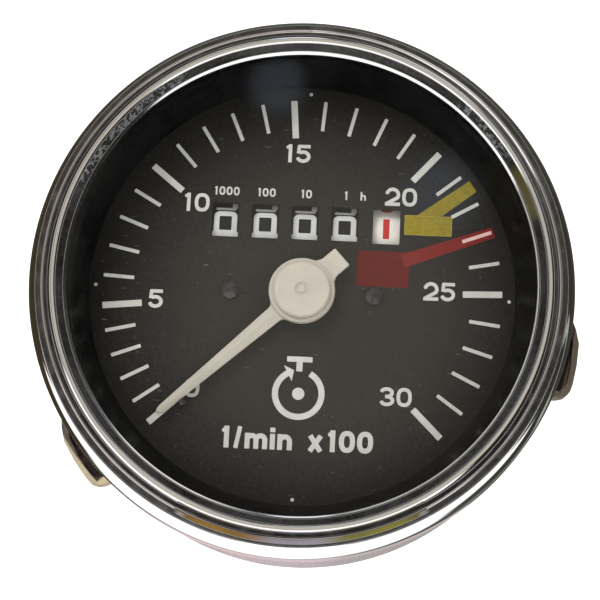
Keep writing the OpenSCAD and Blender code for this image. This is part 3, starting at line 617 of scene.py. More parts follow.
def contours(sd, x0, x1, z0, z1, h, level=0.0, tol=0.003):
    """Loops where sd(X, Z) = level, inside where it is lower."""
    xs = np.arange(x0, x1 + h, h)
    zs = np.arange(z0, z1 + h, h)
    X, Z = np.meshgrid(xs, zs, indexing="ij")
    D = sd(X, Z) - level
    D = np.where(np.abs(D) < 1e-9, 1e-9, D)
    ins = D < 0
    mixed = ins[:-1, :-1].astype(int) + ins[1:, :-1] + ins[1:, 1:] + ins[:-1, 1:]
    cells = np.argwhere((mixed > 0) & (mixed < 4))
    pts, links = {}, {}

    def cut(i, j, i2, j2):
        key = (i, j, i2, j2)
        if key not in pts:
            a, b = D[i, j], D[i2, j2]
            t = a / (a - b)
            pts[key] = (xs[i] + (xs[i2] - xs[i]) * t, zs[j] + (zs[j2] - zs[j]) * t)
        return key

    for i, j in cells:
        i, j = int(i), int(j)
        c = [ins[i, j], ins[i + 1, j], ins[i + 1, j + 1], ins[i, j + 1]]
        e = [(i, j, i + 1, j), (i + 1, j, i + 1, j + 1), (i, j + 1, i + 1, j + 1), (i, j, i, j + 1)]
        on = [k for k in range(4) if c[k] != c[(k + 1) % 4]]
        if len(on) == 2:
            pairs = [(on[0], on[1])]
        else:
            mid = D[i : i + 2, j : j + 2].mean() < 0
            pairs = [(0, 3), (1, 2)] if (c[0] != mid) else [(0, 1), (2, 3)]
        for a, b in pairs:
            ka, kb = cut(*e[a]), cut(*e[b])
            links.setdefault(ka, []).append(kb)
            links.setdefault(kb, []).append(ka)
    loops, seen = [], set()
    for start in links:
        if start in seen:
            continue
        loop, cur, prev = [start], start, None
        seen.add(start)
        while True:
            nxt = [k for k in links[cur] if k != prev and (k not in seen or k == start)]
            if not nxt:
                break
            prev, cur = cur, nxt[0]
            if cur == start:
                break
            seen.add(cur)
            loop.append(cur)
        p = np.array([pts[k] for k in loop])
        if len(p) >= 4:
            loops.append(simplify(p, tol))
    return [l for l in loops if len(l) >= 3]


def simplify(p, tol):
    """Drops points of a closed loop that lie on the line of their neighbours."""
    if tol <= 0 or len(p) < 8:
        return p
    k = len(p)
    far = int(np.argmax(np.hypot(*(p - p[0]).T)))

    def rdp(a, b):
        if b - a < 2:
            return []
        q = np.arange(a + 1, b)
        d = p[b % k] - p[a]
        L = math.hypot(*d)
        w = p[q % k] - p[a]
        dist = np.abs(d[0] * w[:, 1] - d[1] * w[:, 0]) / L if L > 1e-9 else np.hypot(*w.T)
        m = int(np.argmax(dist))
        if dist[m] <= tol:
            return []
        return rdp(a, a + 1 + m) + [a + 1 + m] + rdp(a + 1 + m, b)

    keep = sorted(set([0, far] + rdp(0, far) + rdp(far, k)))
    return p[[i % k for i in keep if i < k]]


def even_odd(loops, P):
    inside = np.zeros(len(P), bool)
    for l in loops:
        a = np.asarray(l, float)
        b = np.roll(a, -1, axis=0)
        for (x1, z1), (x2, z2) in zip(a, b):
            if z1 == z2:
                continue
            hit = ((z1 > P[:, 1]) != (z2 > P[:, 1])) & (P[:, 0] < (x2 - x1) * (P[:, 1] - z1) / (z2 - z1) + x1)
            inside ^= hit
    return inside


def fill(loops, extra=(), lines=()):
    """Triangles over the area inside the loops. Returns points, triangles and the loops as indices."""
    verts, edges = [], []
    for l in loops:
        n0 = len(verts)
        verts += [Vector((float(x), float(z))) for x, z in l]
        edges += [(n0 + i, n0 + (i + 1) % len(l)) for i in range(len(l))]
    for l in lines:
        n0 = len(verts)
        verts += [Vector((float(x), float(z))) for x, z in l]
        edges += [(n0 + i, n0 + i + 1) for i in range(len(l) - 1)]
    verts += [Vector((float(x), float(z))) for x, z in extra]
    vs, es, fs, ov, oe, of = delaunay_2d_cdt(verts, edges, [], 0, 1e-6)
    P = np.array([(v.x, v.y) for v in vs])
    T = np.array([tuple(f) for f in fs if len(f) == 3], int)
    C = P[T].mean(axis=1)
    T = T[even_odd(loops, C)]
    remap = {}
    for new, olds in enumerate(ov):
        for o in olds:
            remap[o] = new
    idx, n0 = [], 0
    for l in loops:
        ids = [remap[n0 + i] for i in range(len(l))]
        idx.append([a for a, b in zip(ids, ids[1:] + ids[:1]) if a != b])
        n0 += len(l)
    return P, T, idx


def on_dial(u, v, h):
    return np.stack([u, -h, v], axis=1)


def solid(loops, top, bottom, place=on_dial, extra=(), lines=()):
    """Closed body over the loops. top and bottom are heights, or functions of (u, v)."""
    P, T, idx = fill(loops, extra, lines)
    n = len(P)
    ht = top(P[:, 0], P[:, 1]) if callable(top) else np.full(n, float(top))
    hb = bottom(P[:, 0], P[:, 1]) if callable(bottom) else np.full(n, float(bottom))
    V = np.vstack([place(P[:, 0], P[:, 1], ht), place(P[:, 0], P[:, 1], hb)])
    F = [tuple(t) for t in T] + [tuple(n + i for i in t[::-1]) for t in T]
    used = set()
    count = {}
    for t in T:
        for a, b in ((t[0], t[1]), (t[1], t[2]), (t[2], t[0])):
            count[(int(a), int(b))] = count.get((int(a), int(b)), 0) + 1
    for (a, b) in count:
        if (b, a) not in count:
            F.append((a, n + a, n + b, b))
    return V, F


def grid_in(sd, x0, x1, z0, z1, step, margin):
    xs = np.arange(x0, x1, step)
    zs = np.arange(z0, z1, step)
    X, Z = np.meshgrid(xs, zs, indexing="ij")
    D = sd(X, Z)
    k = D < -margin
    return list(zip(X[k], Z[k]))


# --------------------------------------------------------------------------
# Figures: plain block figures drawn as strokes
# --------------------------------------------------------------------------


def glyph_sd(ch, W, H, t, rho):
    """Signed distance of one figure, centred on (0, 0)."""
    a, b, h = W / 2 - t / 2, H / 2 - t / 2, t / 2

    def P(X, Z, pts, closed=False, hh=None, caps=(True, True)):
        return sd_path(X, Z, pts, h if hh is None else hh, closed, rho, caps)

    def f(X, Z):
        if ch == "0":
            return P(X, Z, superell(0, 0, a, b, 2.5), True)
        if ch == "1":
            x1 = 0.13 * W
            d = P(X, Z, [(x1, -H / 2), (x1, H / 2)])
            return np.minimum(d, P(X, Z, [(x1, b + 0.10 * t), (x1 - 0.25 * W, b - 0.38 * t), (x1 - 0.36 * W, b - 0.44 * t)], hh=h * 0.8))
        if ch == "2":
            top = arc(0, b - a * 0.98, a, a * 0.98, 172, -32, 16)
            p = top + [(-a * 0.55, -b + 0.55 * t), (-a, -b + 0.1 * t)]
            return np.minimum(P(X, Z, p), P(X, Z, [(-W / 2, -b), (W / 2, -b)]))
        if ch == "3":
            r1, r2 = b * 0.49, b * 0.51
            up = arc(-0.02 * W, b - r1, a * 0.93, r1, 165, -78, 14) + [(-a * 0.30, b - 2 * r1)]
            dn = [(-a * 0.30, -b + 2 * r2)] + arc(0, -b + r2, a, r2, 78, -165, 14)
            return np.minimum(P(X, Z, up), P(X, Z, dn))
        if ch == "4":
            d = P(X, Z, [(a * 0.45, -H / 2), (a * 0.45, b), (-a, -b * 0.38), (W / 2, -b * 0.38)])
            return d
        if ch == "5":
            r = (b + 0.20 * H / 2) / 2
            bowl = [(-a * 0.80, -b + 2 * r - 0.55 * t)] + arc(-0.03 * W, -b + r, a * 1.0, r, 128, -165, 18)
            d = P(X, Z, [(W / 2 - 0.06 * W, b), (-a * 0.80, b), (-a * 0.92, -b + 2 * r - 0.50 * t)], hh=h * 0.97)
            return np.minimum(d, P(X, Z, bowl[1:]))
        if ch == "6":
            r = b * 0.54
            loop = superell(0, -b + r, a, r, 2.3)
            side = arc(0, 0, a, b, 180, 28, 16)
            side = [(-a, -b + r)] + side
            return np.minimum(P(X, Z, loop, True), P(X, Z, side))
        if ch == "7":
            return P(X, Z, [(-W / 2, b), (a, b), (a * 0.1, 0), (-a * 0.25, -H / 2)])
        if ch == "8":
            r1, r2 = b * 0.49, b * 0.52
            return np.minimum(P(X, Z, superell(0, b - r1, a * 0.92, r1, 2.3), True), P(X, Z, superell(0, -b + r2, a, r2, 2.3), True))
        if ch == "9":
            r = b * 0.54
            loop = superell(0, b - r, a, r, 2.3)
            side = [(a, b - r)] + arc(0, 0, a, b, 0, -152, 16)
            return np.minimum(P(X, Z, loop, True), P(X, Z, side))
        if ch == "/":
            return P(X, Z, [(-a * 0.8, -H / 2), (a * 0.8, H / 2)], hh=h * 0.85)
        if ch == "x":
            q = 0.36 * H
            z0 = -H / 2
            d = P(X, Z, [(-a, z0), (a, z0 + 2 * q)])
            return np.minimum(d, P(X, Z, [(a, z0), (-a, z0 + 2 * q)]))
        if ch == "i":
            z1 = -H / 2 + 0.72 * H
            d = P(X, Z, [(0, -H / 2), (0, z1)])
            return np.minimum(d, P(X, Z, [(0, H / 2 - t * 0.9), (0, H / 2)]))
        if ch == "n":
            z1 = -H / 2 + 0.72 * H
            d = P(X, Z, [(-a, -H / 2), (-a, z1)])
            return np.minimum(d, P(X, Z, [(-a, z1 - 0.36 * H)] + arc(0, z1 - a - h, a, a, 180, 0, 14) + [(a, -H / 2)]))
        if ch == "m":
            z1 = -H / 2 + 0.72 * H
            q = a / 2
            d = P(X, Z, [(-a, -H / 2), (-a, z1)])
            d = np.minimum(d, P(X, Z, [(-a, z1 - 0.3 * H)] + arc(-q, z1 - q - h, q, q, 180, 0, 12) + [(0, -H / 2)]))
            return np.minimum(d, P(X, Z, [(0, z1 - 0.3 * H)] + arc(q, z1 - q - h, q, q, 180, 0, 12) + [(a, -H / 2)]))
        if ch == "h":
            z1 = -H / 2 + 0.68 * H
            d = P(X, Z, [(-a, -H / 2), (-a, H / 2)])
            return np.minimum(d, P(X, Z, [(-a, z1 - 0.36 * H)] + arc(0, z1 - a - h, a, a, 180, 0, 14) + [(a, -H / 2)]))
        raise ValueError(ch)

    return f


WIDTHS = {"1": 0.72, "/": 0.62, "i": 0.36, "m": 1.42, "n": 0.92, "x": 0.98, "h": 0.92}


def write(text, cx, cz, W, H, t, gap, top=0.045, rho=0.07, res=0.045, place=on_dial, heap=None, step=None):
    """Figures in a row centred on (cx, cz), each W wide (narrow ones less)."""
    ws = [W * WIDTHS.get(c, 1.0) if c != " " else W * 0.7 for c in text]
    x = cx - (sum(ws) + gap * (len(text) - 1)) / 2
    heap = heap or Heap()
    for c, w in zip(text, ws):
        if c != " ":
            g = glyph_sd(c, w, H, t, rho)
            ox, oz = x + w / 2, cz
            sd = lambda X, Z, g=g, ox=ox, oz=oz: g(X - ox, Z - oz)
            m = 0.3
            loops = contours(sd, ox - w / 2 - m - t / 2, ox + w / 2 + m + t / 2, oz - H / 2 - m, oz + H / 2 + m, res)
            extra = grid_in(sd, ox - w / 2, ox + w / 2, oz - H / 2, oz + H / 2, step, step * 0.35) if step else ()
            V, F = solid(loops, top, 0.0, place, extra)
            heap.add(V, F)
        x += w + gap
    return heap


def bar(r0, r1, deg, w, top=0.045, rho=0.12, taper=1.0):
    """Radial tick with softened corners, as a closed body."""
    a = math.radians(deg)
    hw0, hw1 = w / 2 * taper, w / 2
    pts = filleted([(r0, -hw0), (r1, -hw1), (r1, hw1), (r0, hw0)], rho, 3)
    P = np.array([(u * math.cos(a) - v * math.sin(a), u * math.sin(a) + v * math.cos(a)) for u, v in pts])
    return solid([P], top, 0.0)


def circle_pts(cx, cz, r, n=48):
    return [(cx + r * math.cos(2 * math.pi * i / n), cz + r * math.sin(2 * math.pi * i / n)) for i in range(n)]


# --------------------------------------------------------------------------
# Bezel, glass, gasket, surround
# --------------------------------------------------------------------------
lip = [
    (46.9, -12.92), (46.9, -13.05), (46.98, -13.16), (47.15, -13.22), (47.35, -13.30), (47.52, -13.44), (47.9, -13.86), (48.3, -14.23), (48.7, -14.61), (48.95, -14.81), (49.15, -14.91), (49.45, -14.965), (49.85, -15.0), (50.2, -14.93), (50.48, -14.70), (50.66, -14.34), (50.80, -14.02),
    (50.98, -13.92), (51.2, -14.04), (51.4, -14.14), (51.62, -14.18), (51.95, -14.14), (52.3, -14.03), (52.6, -13.91),
    (52.78, -13.75), (52.88, -13.5), (53.0, -13.3), (53.2, -13.12), (53.5, -12.65), (54.0, -11.9), (54.4, -10.9),
    (54.75, -9.85), (54.95, -8.9), (55.0, -8.2),
]
outer = [(min(r, 55.0), max(y, -15.0)) for r, y in catmull(lip, 6)]
outer += [(55.0, -6.0), (55.0, -3.0), (55.0, -1.2), (54.97, -0.55), (54.85, -0.22), (54.6, -0.02), (54.2, 0.0)]
inner = [
    (53.7, 0.0), (53.62, -0.1), (53.62, -0.6), (54.4, -0.62), (54.4, -8.6), (54.15, -9.8), (53.8, -10.7), (53.4, -11.6),
    (52.9, -12.3), (52.6, -12.75), (52.3, -13.3), (51.8, -13.6), (51.4, -13.5), (51.0, -13.35), (50.5, -13.5), (50.1, -14.1),
    (49.7, -14.35), (49.3, -14.2), (48.9, -13.7), (48.4, -13.15), (47.9, -12.92), (47.4, -12.82),
]
V, F = lathe(outer + inner, 288)
bezel = add_piece("bezel_ring", V, F, "chrome", "housing", "chrome_plate", ("bezel",), sharp=50)

V, F = lathe(filleted([(0.0, -12.78), (51.3, -12.78), (51.9, -12.78), (51.9, -10.62), (51.3, -10.62), (0.0, -10.62)], [0, 0, 0.25, 0.25, 0, 0], 4), 192)
lens = add_piece("lens_pane", V, F, "glass", "housing", "clear_glass", ("lens_glass",))

V, F = lathe(filleted([(48.0, -10.6), (52.2, -10.6), (52.2, -9.9), (48.0, -9.9)], 0.2, 4), 192)
add_piece("lens_seal", V, F, "rubber", "housing", "black_rubber", ("lens_gasket",))

V, F = lathe(
    filleted([(46.9, -9.9), (51.8, -9.9), (51.8, -9.2), (47.75, -9.2), (47.35, -8.6), (44.5, -0.02), (43.7, -0.02), (43.72, -0.5)],
             [0.25, 0.2, 0.2, 0.3, 0.3, 0.1, 0.12, 0.2], 4), 240)
add_piece("inner_ring", V, F, "surround", "housing", "black_enamel", ("dial_surround",))

# --------------------------------------------------------------------------
# Case: drawn can with a rolled rear edge, a bead and its holes
# --------------------------------------------------------------------------
BR = 13.4
case_prof = (
    [(50.2, -9.2), (53.3, -9.2), (53.5, -9.0), (53.5, -1.7)]
    + catmull([(53.5, -1.7), (53.9, -1.68), (54.3, -1.45), (54.34, -1.1), (54.3, -0.8), (53.9, -0.64), (53.5, -0.62)], 4)[1:]
    + [(53.5, 0.4), (53.5, 40.3)]
    + [(53.5 - 2.2 + 2.2 * math.cos(q), 40.3 + 2.2 * math.sin(q)) for q in np.linspace(0.1, math.pi / 2, 12)]
    + [(46.0, 42.5)]
)
case_in = [(46.0, 41.6)] + [(51.3 - 0.0 + 1.3 * math.cos(q), 40.3 + 1.3 * math.sin(q)) for q in np.linspace(math.pi / 2, 0.1, 8)] + [(52.6, 40.2), (52.6, -8.3), (50.2, -8.3)]
V, F = lathe(case_prof + case_in, 240)
shell = Heap()
shell.add(V, F)
holes = [circle_pts(0, 0, 6, 48)]
for a in (BR + 90, BR + 270):
    holes.append(circle_pts(40 * math.cos(math.radians(a)), 40 * math.sin(math.radians(a)), 6, 48))
for a in (BR, BR + 180):
    holes.append(circle_pts(34 * math.cos(math.radians(a)), 34 * math.sin(math.radians(a)), 2.4, 28))
for a in (30, 150, 270):
    holes.append(circle_pts(16 * math.cos(math.radians(a)), 16 * math.sin(math.radians(a)), 1.7, 24))
holes.append(circle_pts(43 * math.cos(math.radians(BR + 298)), 43 * math.sin(math.radians(BR + 298)), 1.6, 24))
rim = circle_pts(0, 0, 46.0, 240)
V, F = solid([rim] + holes, -42.5, -41.6)
# the disc's own wall at the rim is left out: it meets the drawn part there
keep = []
for f in F:
    rr = [math.hypot(V[i][0], V[i][2]) for i in f]
    if len(f) == 4 and min(rr) > 45.9:
        continue
    keep.append(f)
shell.add(V, keep)
me_v = np.vstack(shell.v)
ring_f = []
for f in shell.f:
    rr = [math.hypot(me_v[i][0], me_v[i][2]) for i in f]
    yy = [me_v[i][1] for i in f]
    if len(f) == 4 and max(rr) < 46.05 and min(rr) > 45.95 and min(yy) > 41.5:
        continue
    ring_f.append(f)
case_ob = add_piece("case_shell", me_v, ring_f, "case", "housing", "bright_zinc", ("case",), sharp=28)

# --------------------------------------------------------------------------
# Dial with windows and softened edges
# --------------------------------------------------------------------------
DRUM_X = [-16.6, -8.35, -0.1, 8.15, 16.8]
CZ = 13.9
WIN_W, WIN_H, WIN_Z = 5.6, 7.4, 14.75


def rrect(cx, cz, w, h, r, n=4):
    return filleted([(cx - w / 2, cz - h / 2), (cx + w / 2, cz - h / 2), (cx + w / 2, cz + h / 2), (cx - w / 2, cz + h / 2)], r, n)


pin_at = (33.4 * math.cos(math.radians(226.2)), 33.4 * math.sin(math.radians(226.2)))


def dial_loops(grow):
    """Edge of the dial and of its openings, each moved into the metal by grow."""
    L = [circle_pts(0, 0, 46.2 - grow, 240)]
    for x in DRUM_X:
        L.append(rrect(x, WIN_Z, WIN_W + 2 * grow, WIN_H + 2 * grow, 0.35 + grow, 5))
    L.append(circle_pts(0, 0, 2.2 + grow, 40))
    for s in (-1, 1):
        L.append(circle_pts(s * 14.8, 0, 1.1 + grow, 28))
    L.append(circle_pts(*pin_at, 0.7 + grow, 24))
    return L


dial_heap = Heap()
steps = [(0.09, 0.0), (0.03, -0.03), (0.0, -0.09), (0.0, -0.72), (0.05, -0.8)]
P, T, idx = fill(dial_loops(steps[0][0]))
dial_heap.add(on_dial(P[:, 0], P[:, 1], np.zeros(len(P))), [tuple(t) for t in T])
for (g0, h0), (g1, h1) in zip(steps, steps[1:]):
    for l0, l1 in zip(dial_loops(g0), dial_loops(g1)):
        l0, l1 = np.array(l0), np.array(l1)
        n = len(l0)
        V = np.vstack([on_dial(l0[:, 0], l0[:, 1], np.full(n, h0)), on_dial(l1[:, 0], l1[:, 1], np.full(n, h1))])
        dial_heap.add(V, [(i, (i + 1) % n, n + (i + 1) % n, n + i) for i in range(n)])
P, T, idx = fill(dial_loops(steps[-1][0]))
dial_heap.add(on_dial(P[:, 0], P[:, 1], np.full(len(P), -0.8)), [tuple(t[::-1]) for t in T])
dial_heap.make("dial_plate", "dial", "housing", "black_enamel", replaces=("dial",), sharp=40)


# ---- scale ----
def theta(v):
    if v >= 10:
        return 94.87 - 9.289 * (v - 15)
    if v >= 5:
        return 186.0 - (v - 5) * 8.94
    return 223.1 - v * 7.42


ticks = Heap()
for v in range(0, 31):
    if v == 23:
        continue
    if v % 5 == 0:
        V, F = bar(33.0, 41.1, theta(v), 1.33)
    else:
        V, F = bar(34.75, 41.07, theta(v), 0.73)
    ticks.add(V, F)
for a in (90, 0, 270, 180):
    V, F = solid([circle_pts(42.5 * math.cos(math.radians(a)), 42.5 * math.sin(math.radians(a)), 0.36, 24)], 0.045, 0.0)
    ticks.add(V, F)
ticks.make("scale_marks", "print", "housing", "cream_paint")

nums = Heap()
NUM = dict(W=3.1, H=3.9, t=0.73, gap=0.42)
for text, x, z in (("5", -29.96, -2.44), ("10", -22.9, 18.3), ("15", -2.34, 29.6), ("20", 19.6, 21.2), ("25", 28.2, 1.52), ("30", 19.98, -20.7), ("0", -21.5, -20.6)):
    write(text, x, z, heap=nums, **NUM)
nums.make("scale_figures", "print", "housing", "cream_paint")

unit = Heap()
write("1/min x100", 0.2, -30.3, W=3.25, H=4.45, t=1.02, gap=0.42, heap=unit)
unit.make("unit_figures", "print", "housing", "cream_paint")

places = Heap()
for text, x in (("1000", DRUM_X[0]), ("100", DRUM_X[1]), ("10", DRUM_X[2]), ("1", DRUM_X[3])):
    write(text, x, 21.0, W=1.25, H=1.8, t=0.36, gap=0.24, heap=places, res=0.03, rho=0.03)
write("h", DRUM_X[3] + 3.6, 21.0, W=1.25, H=1.8, t=0.36, gap=0.24, heap=places, res=0.03, rho=0.03)
places.make("place_figures", "print", "housing", "cream_paint")

# ---- turning sign: open ring with an arrow head, a dot and a bar on top ----
sign = Heap()
SX, SZ = 0.2, -20.9


def sign_sd(X, Z):
    X, Z = X - SX, Z - SZ
    d = sd_path(X, Z, arc(0, 0, 4.75, 4.75, 118, 422, 40), 0.62, False, 0.1)
    d = np.minimum(d, np.hypot(X, Z) - 1.25)
    d = np.minimum(d, sd_box(X, Z, 0, 7.1, 2.6, 0.55, 0.15))
    return np.minimum(d, sd_box(X, Z, 0, 5.9, 0.62, 1.3, 0.1))


def head_sd(X, Z):
    X, Z = X - SX, Z - SZ
    q = math.radians(118)
    cx, cz = 4.75 * math.cos(q), 4.75 * math.sin(q)
    tx, tz = math.sin(q), -math.cos(q)
    u, v = (X - cx) * tx + (Z - cz) * tz, -(X - cx) * tz + (Z - cz) * tx
    return np.maximum(-u - 0.1, np.maximum(0.8 * u + 0.62 * v - 1.05, 0.8 * u - 0.62 * v - 1.05))


loops = contours(lambda X, Z: np.minimum(sign_sd(X, Z), head_sd(X, Z)), -6.5, 7, -28, -12, 0.06)
V, F = solid(loops, 0.045, 0.0)
sign.add(V, F)
sign.make("turning_sign", "print", "housing", "cream_paint")


# ---- coloured range marks ----
def strip(r0, r1, deg, w0, w1):
    a = math.radians(deg)
    pts = filleted([(r0, -w0 / 2), (r1, -w1 / 2), (r1, w1 / 2), (r0, w0 / 2)], 0.12, 3)
    return np.array([(u * math.cos(a) - v * math.sin(a), u * math.sin(a) + v * math.cos(a)) for u, v in pts])


def poly_sd(pts):
    pts = np.asarray(pts, float)

    def f(X, Z):
        d = np.full(X.shape, 1e9)
        ins = np.zeros(X.shape, bool)
        for (x1, z1), (x2, z2) in zip(pts, np.roll(pts, -1, axis=0)):
            ex, ez = x2 - x1, z2 - z1
            t = np.clip(((X - x1) * ex + (Z - z1) * ez) / max(ex * ex + ez * ez, 1e-12), 0, 1)
            d = np.minimum(d, np.hypot(X - x1 - t * ex, Z - z1 - t * ez))
            if z1 != z2:
                ins ^= ((z1 > Z) != (z2 > Z)) & (X < (x2 - x1) * (Z - z1) / (z2 - z1) + x1)
        return np.where(ins, -d, d)

    return f


ybox = lambda X, Z: sd_box(X, Z, 25.4, 15.3, 4.9, 2.1, 0.15)
ystrip = poly_sd([(22.87, 17.30), (33.6, 25.2), (35.15, 23.0), (28.29, 17.53)])
yedge = lambda X, Z: np.abs(ybox(X, Z)) - 0.16
loops = contours(lambda X, Z: np.minimum(ybox(X, Z), ystrip(X, Z)), 19, 37, 11, 26, 0.07)
V, F = solid(loops, 0.05, 0.0)
add_piece("mark_yellow", V, F, "yellow_film", "housing", "cream_paint")
loops = contours(lambda X, Z: np.maximum(yedge(X, Z), ybox(X, Z)), 19, 31, 12, 18, 0.05)
V, F = solid(loops, 0.065, 0.02)
add_piece("mark_yellow_edge", V, F, "yellow_edge", "housing", "cream_paint")

rbox = sd_box
V, F = solid([rrect(16.4, 5.75, 10.7, 7.5, 0.15, 3)], 0.05, 0.0)
add_piece("mark_red", V, F, "red_film", "housing", "cream_paint")
V, F = solid([strip(21.8, 41.5, 20.4, 2.85, 2.25)], 0.06, 0.0)
add_piece("mark_red_strip", V, F, "red_strip", "housing", "cream_paint")
V, F = bar(34.75, 41.07, theta(23), 0.73, top=0.09)
add_piece("mark_over_red", V, F, "pink_print", "housing", "cream_paint")

# --------------------------------------------------------------------------
# Number drums and their figures
# --------------------------------------------------------------------------
CY, DR, DW = 10.6, 9.2, 6.0


def drum_place(xc):
    def f(u, s, h):
        a = s / DR
        return np.stack([xc + u, CY - (DR + h) * np.cos(a), CZ + (DR + h) * np.sin(a)], axis=1)

    return f


def gear_ring(xc):
    """Ring gear on the drum's right side, as wide as the construction's."""
    n, k = 20, 20 * 12
    mesh = math.degrees(math.atan2(23.6 - CZ, 16.2 - CY))
    out = []
    for i in range(k):
        a = math.radians(i * 360.0 / k)
        r = 8.0 - 0.14 + 0.5 * math.cos(n * (a - math.radians(mesh)))
        out.append((r * math.cos(a), r * math.sin(a)))
    hole = [(6.6 * math.cos(2 * math.pi * i / 96), 6.6 * math.sin(2 * math.pi * i / 96)) for i in range(96)]
    place = lambda u, v, h: np.stack([xc + h, CY + u, CZ + v], axis=1)
    return solid([out, hole], DW / 2 + 1.1, DW / 2 - 1.1, place)


def drum_body(name, xc, body, mat, slot, node, gear):
    prof = filleted(
        [(1.56, -3.35), (6.6, -3.35), (6.6, -3.0), (DR, -3.0), (DR, 3.0), (7.8, 3.0), (7.8, -1.8), (3.0, -1.8), (3.0, 3.9), (1.56, 3.9)],
        [0.05, 0.1, 0.05, 0.14, 0.14, 0.1, 0.3, 0.3, 0.1, 0.05], 3)
    heap = Heap()
    V, F = lathe_x(prof, 144, CY, CZ)
    V[:, 0] += xc
    heap.add(V, F)
    if gear:
        heap.add(*gear_ring(xc))
    return heap.make(name, mat, body, slot, replaces=(node,), sharp=35)


def block_sd(ch):
    """Squarish counter figure 4.8 wide and 5.5 tall."""
    W, H, t = 4.8, 5.46, 1.12
    a, b, h = W / 2 - t / 2, H / 2 - t / 2, t / 2
    rho = 0.22

    def P(X, Z, pts, closed=False):
        return sd_path(X, Z, pts, h, closed, rho)

    def f(X, Z):
        if ch == "0":
            d = np.maximum(sd_box(X, Z, 0, 0, W / 2, H / 2, 1.25), -sd_box(X, Z, 0, 0.1, 1.28, 1.52, 0.2))
            # painted highlight: the foot bar, wider than the figure, is drawn in print colour where light catches the
            # drum's lower edge
            return np.minimum(d, sd_box(X, Z, 0, -H / 2 + 0.5, 2.68, 0.5, 0.15))
        if ch == "1":
            return np.minimum(P(X, Z, [(0, -H / 2), (0, H / 2)]), sd_box(X, Z, 0, -H / 2 + 0.28, 1.9, 0.28, 0.1))
        if ch == "2":
            return P(X, Z, [(-a, b - 0.5), (-a, b), (a, b), (a, 0.1), (-a, -0.6), (-a, -b), (W / 2, -b)])
        if ch == "3":
            return np.minimum(P(X, Z, [(-W / 2, b), (a, b), (a, -b), (-W / 2, -b)]), P(X, Z, [(-a * 0.4, 0), (a, 0)]))
        if ch == "4":
            return np.minimum(P(X, Z, [(-a, H / 2), (-a, -0.5), (W / 2, -0.5)]), P(X, Z, [(a * 0.45, H / 2 - 0.6), (a * 0.45, -H / 2)]))
        if ch == "5":
            return P(X, Z, [(W / 2, b), (-a, b), (-a, 0.15), (a, 0.15), (a, -b), (-W / 2, -b)])
        if ch == "6":
            return P(X, Z, [(W / 2 - 0.3, b), (-a, b), (-a, -b), (a, -b), (a, 0.1), (-a, 0.1)])
        if ch == "7":
            return P(X, Z, [(-W / 2, b), (a, b), (0.1, -0.2), (0.0, -H / 2)])
        if ch == "8":
            return np.minimum(P(X, Z, [(-a, b), (a, b), (a, -b), (-a, -b)], True), P(X, Z, [(-a, 0), (a, 0)]))
        if ch == "9":
            return np.minimum(P(X, Z, [(a, -0.1), (-a, -0.1), (-a, b), (a, b), (a, -b)]), sd_box(X, Z, 0, -H / 2 + 0.28, 2.1, 0.28, 0.1))
        raise ValueError(ch)

    return f


def red_sd(ch):
    W, H, t = 3.3, 3.8, 0.95
    if ch == "1":
        return lambda X, Z: sd_box(X, Z, 0, 0, 0.66, 2.15, 0.1)
    return glyph_sd(ch, W, H, t, 0.1)


def dense(loop, gap):
    """Loop with points added along its straight runs."""
    out = []
    for a, b in zip(loop, list(loop[1:]) + [loop[0]]):
        n = max(1, int(math.ceil(math.hypot(b[0] - a[0], b[1] - a[1]) / gap)))
        out += [(a[0] + (b[0] - a[0]) * k / n, a[1] + (b[1] - a[1]) * k / n) for k in range(n)]
    return out


def drum_figures(name, xc, body, mat, slot, sd_of, first, top=0.05, up=0.5):
    heap = Heap()
    pitch = 2 * math.pi * DR / 10
    for k in range(10):
        g = sd_of(str(k))
        off = -(k - first) * pitch
        if off < -5.01 * pitch:
            off += 10 * pitch
        loops = [dense([tuple(q) for q in lp], 0.3) for lp in contours(g, -3.4, 3.4, -3.2, 3.2, 0.06)]
        extra = grid_in(g, -3.0, 3.0, -2.6, 2.6, 0.42, 0.14)
        place = lambda u, s, h, off=off: drum_place(xc)(u, s + off + up, h)
        V, F = solid(loops, top, -0.02, place, extra)
        heap.add(V, F)
    return heap.make(name, mat, body, slot, sharp=40)


for label, xc in zip(("thousands", "hundreds", "tens", "units"), DRUM_X):
    drum_body(f"{label}_drum", xc, label, "drum", "black_drum", f"drum_{label}", True)
    drum_figures(f"{label}_figures", xc, label, "drum_print", "cream_paint", block_sd, 0)
drum_body("tenths_drum", DRUM_X[4], "tenths", "white", "white_drum", "drum_tenths", False)
drum_figures("tenths_figures", DRUM_X[4], "tenths", "red_print", "cream_paint", red_sd, 1, up=0.75)

# --------------------------------------------------------------------------
# Pointer: roof-shaped blade, hub disc and tail in one moulding, cap on top
# --------------------------------------------------------------------------
ZERO = math.radians(223.1)


def along(u, v, h):
    """Pointer's own frame to the gauge: h is the height above y = -2."""
    c, s = math.cos(ZERO), math.sin(ZERO)
    return np.stack([u * c - v * s, -2.0 - h, u * s + v * c], axis=1)


def half_width(u):
    return np.interp(u, [0, 7.5, 20, 37.3, 38.2, 38.6], [2.6, 1.75, 1.35, 0.88, 0.62, 0.12])


def smin(a, b, k):
    h = np.clip(0.5 + 0.5 * (b - a) / k, 0, 1)
    return b + (a - b) * h - k * h * (1 - h)


def blade_sd(U, V):
    return np.maximum(np.abs(V) - half_width(U), np.maximum(U - 38.6, -U))


def pointer_sd(U, V):
    hub = np.hypot(U, V) - 6.8
    tail = sd_box(U, V, -5.45, 0, 5.45, 2.3, 0.25)
    return smin(smin(hub, tail, 1.5), blade_sd(U, V), 0.9)


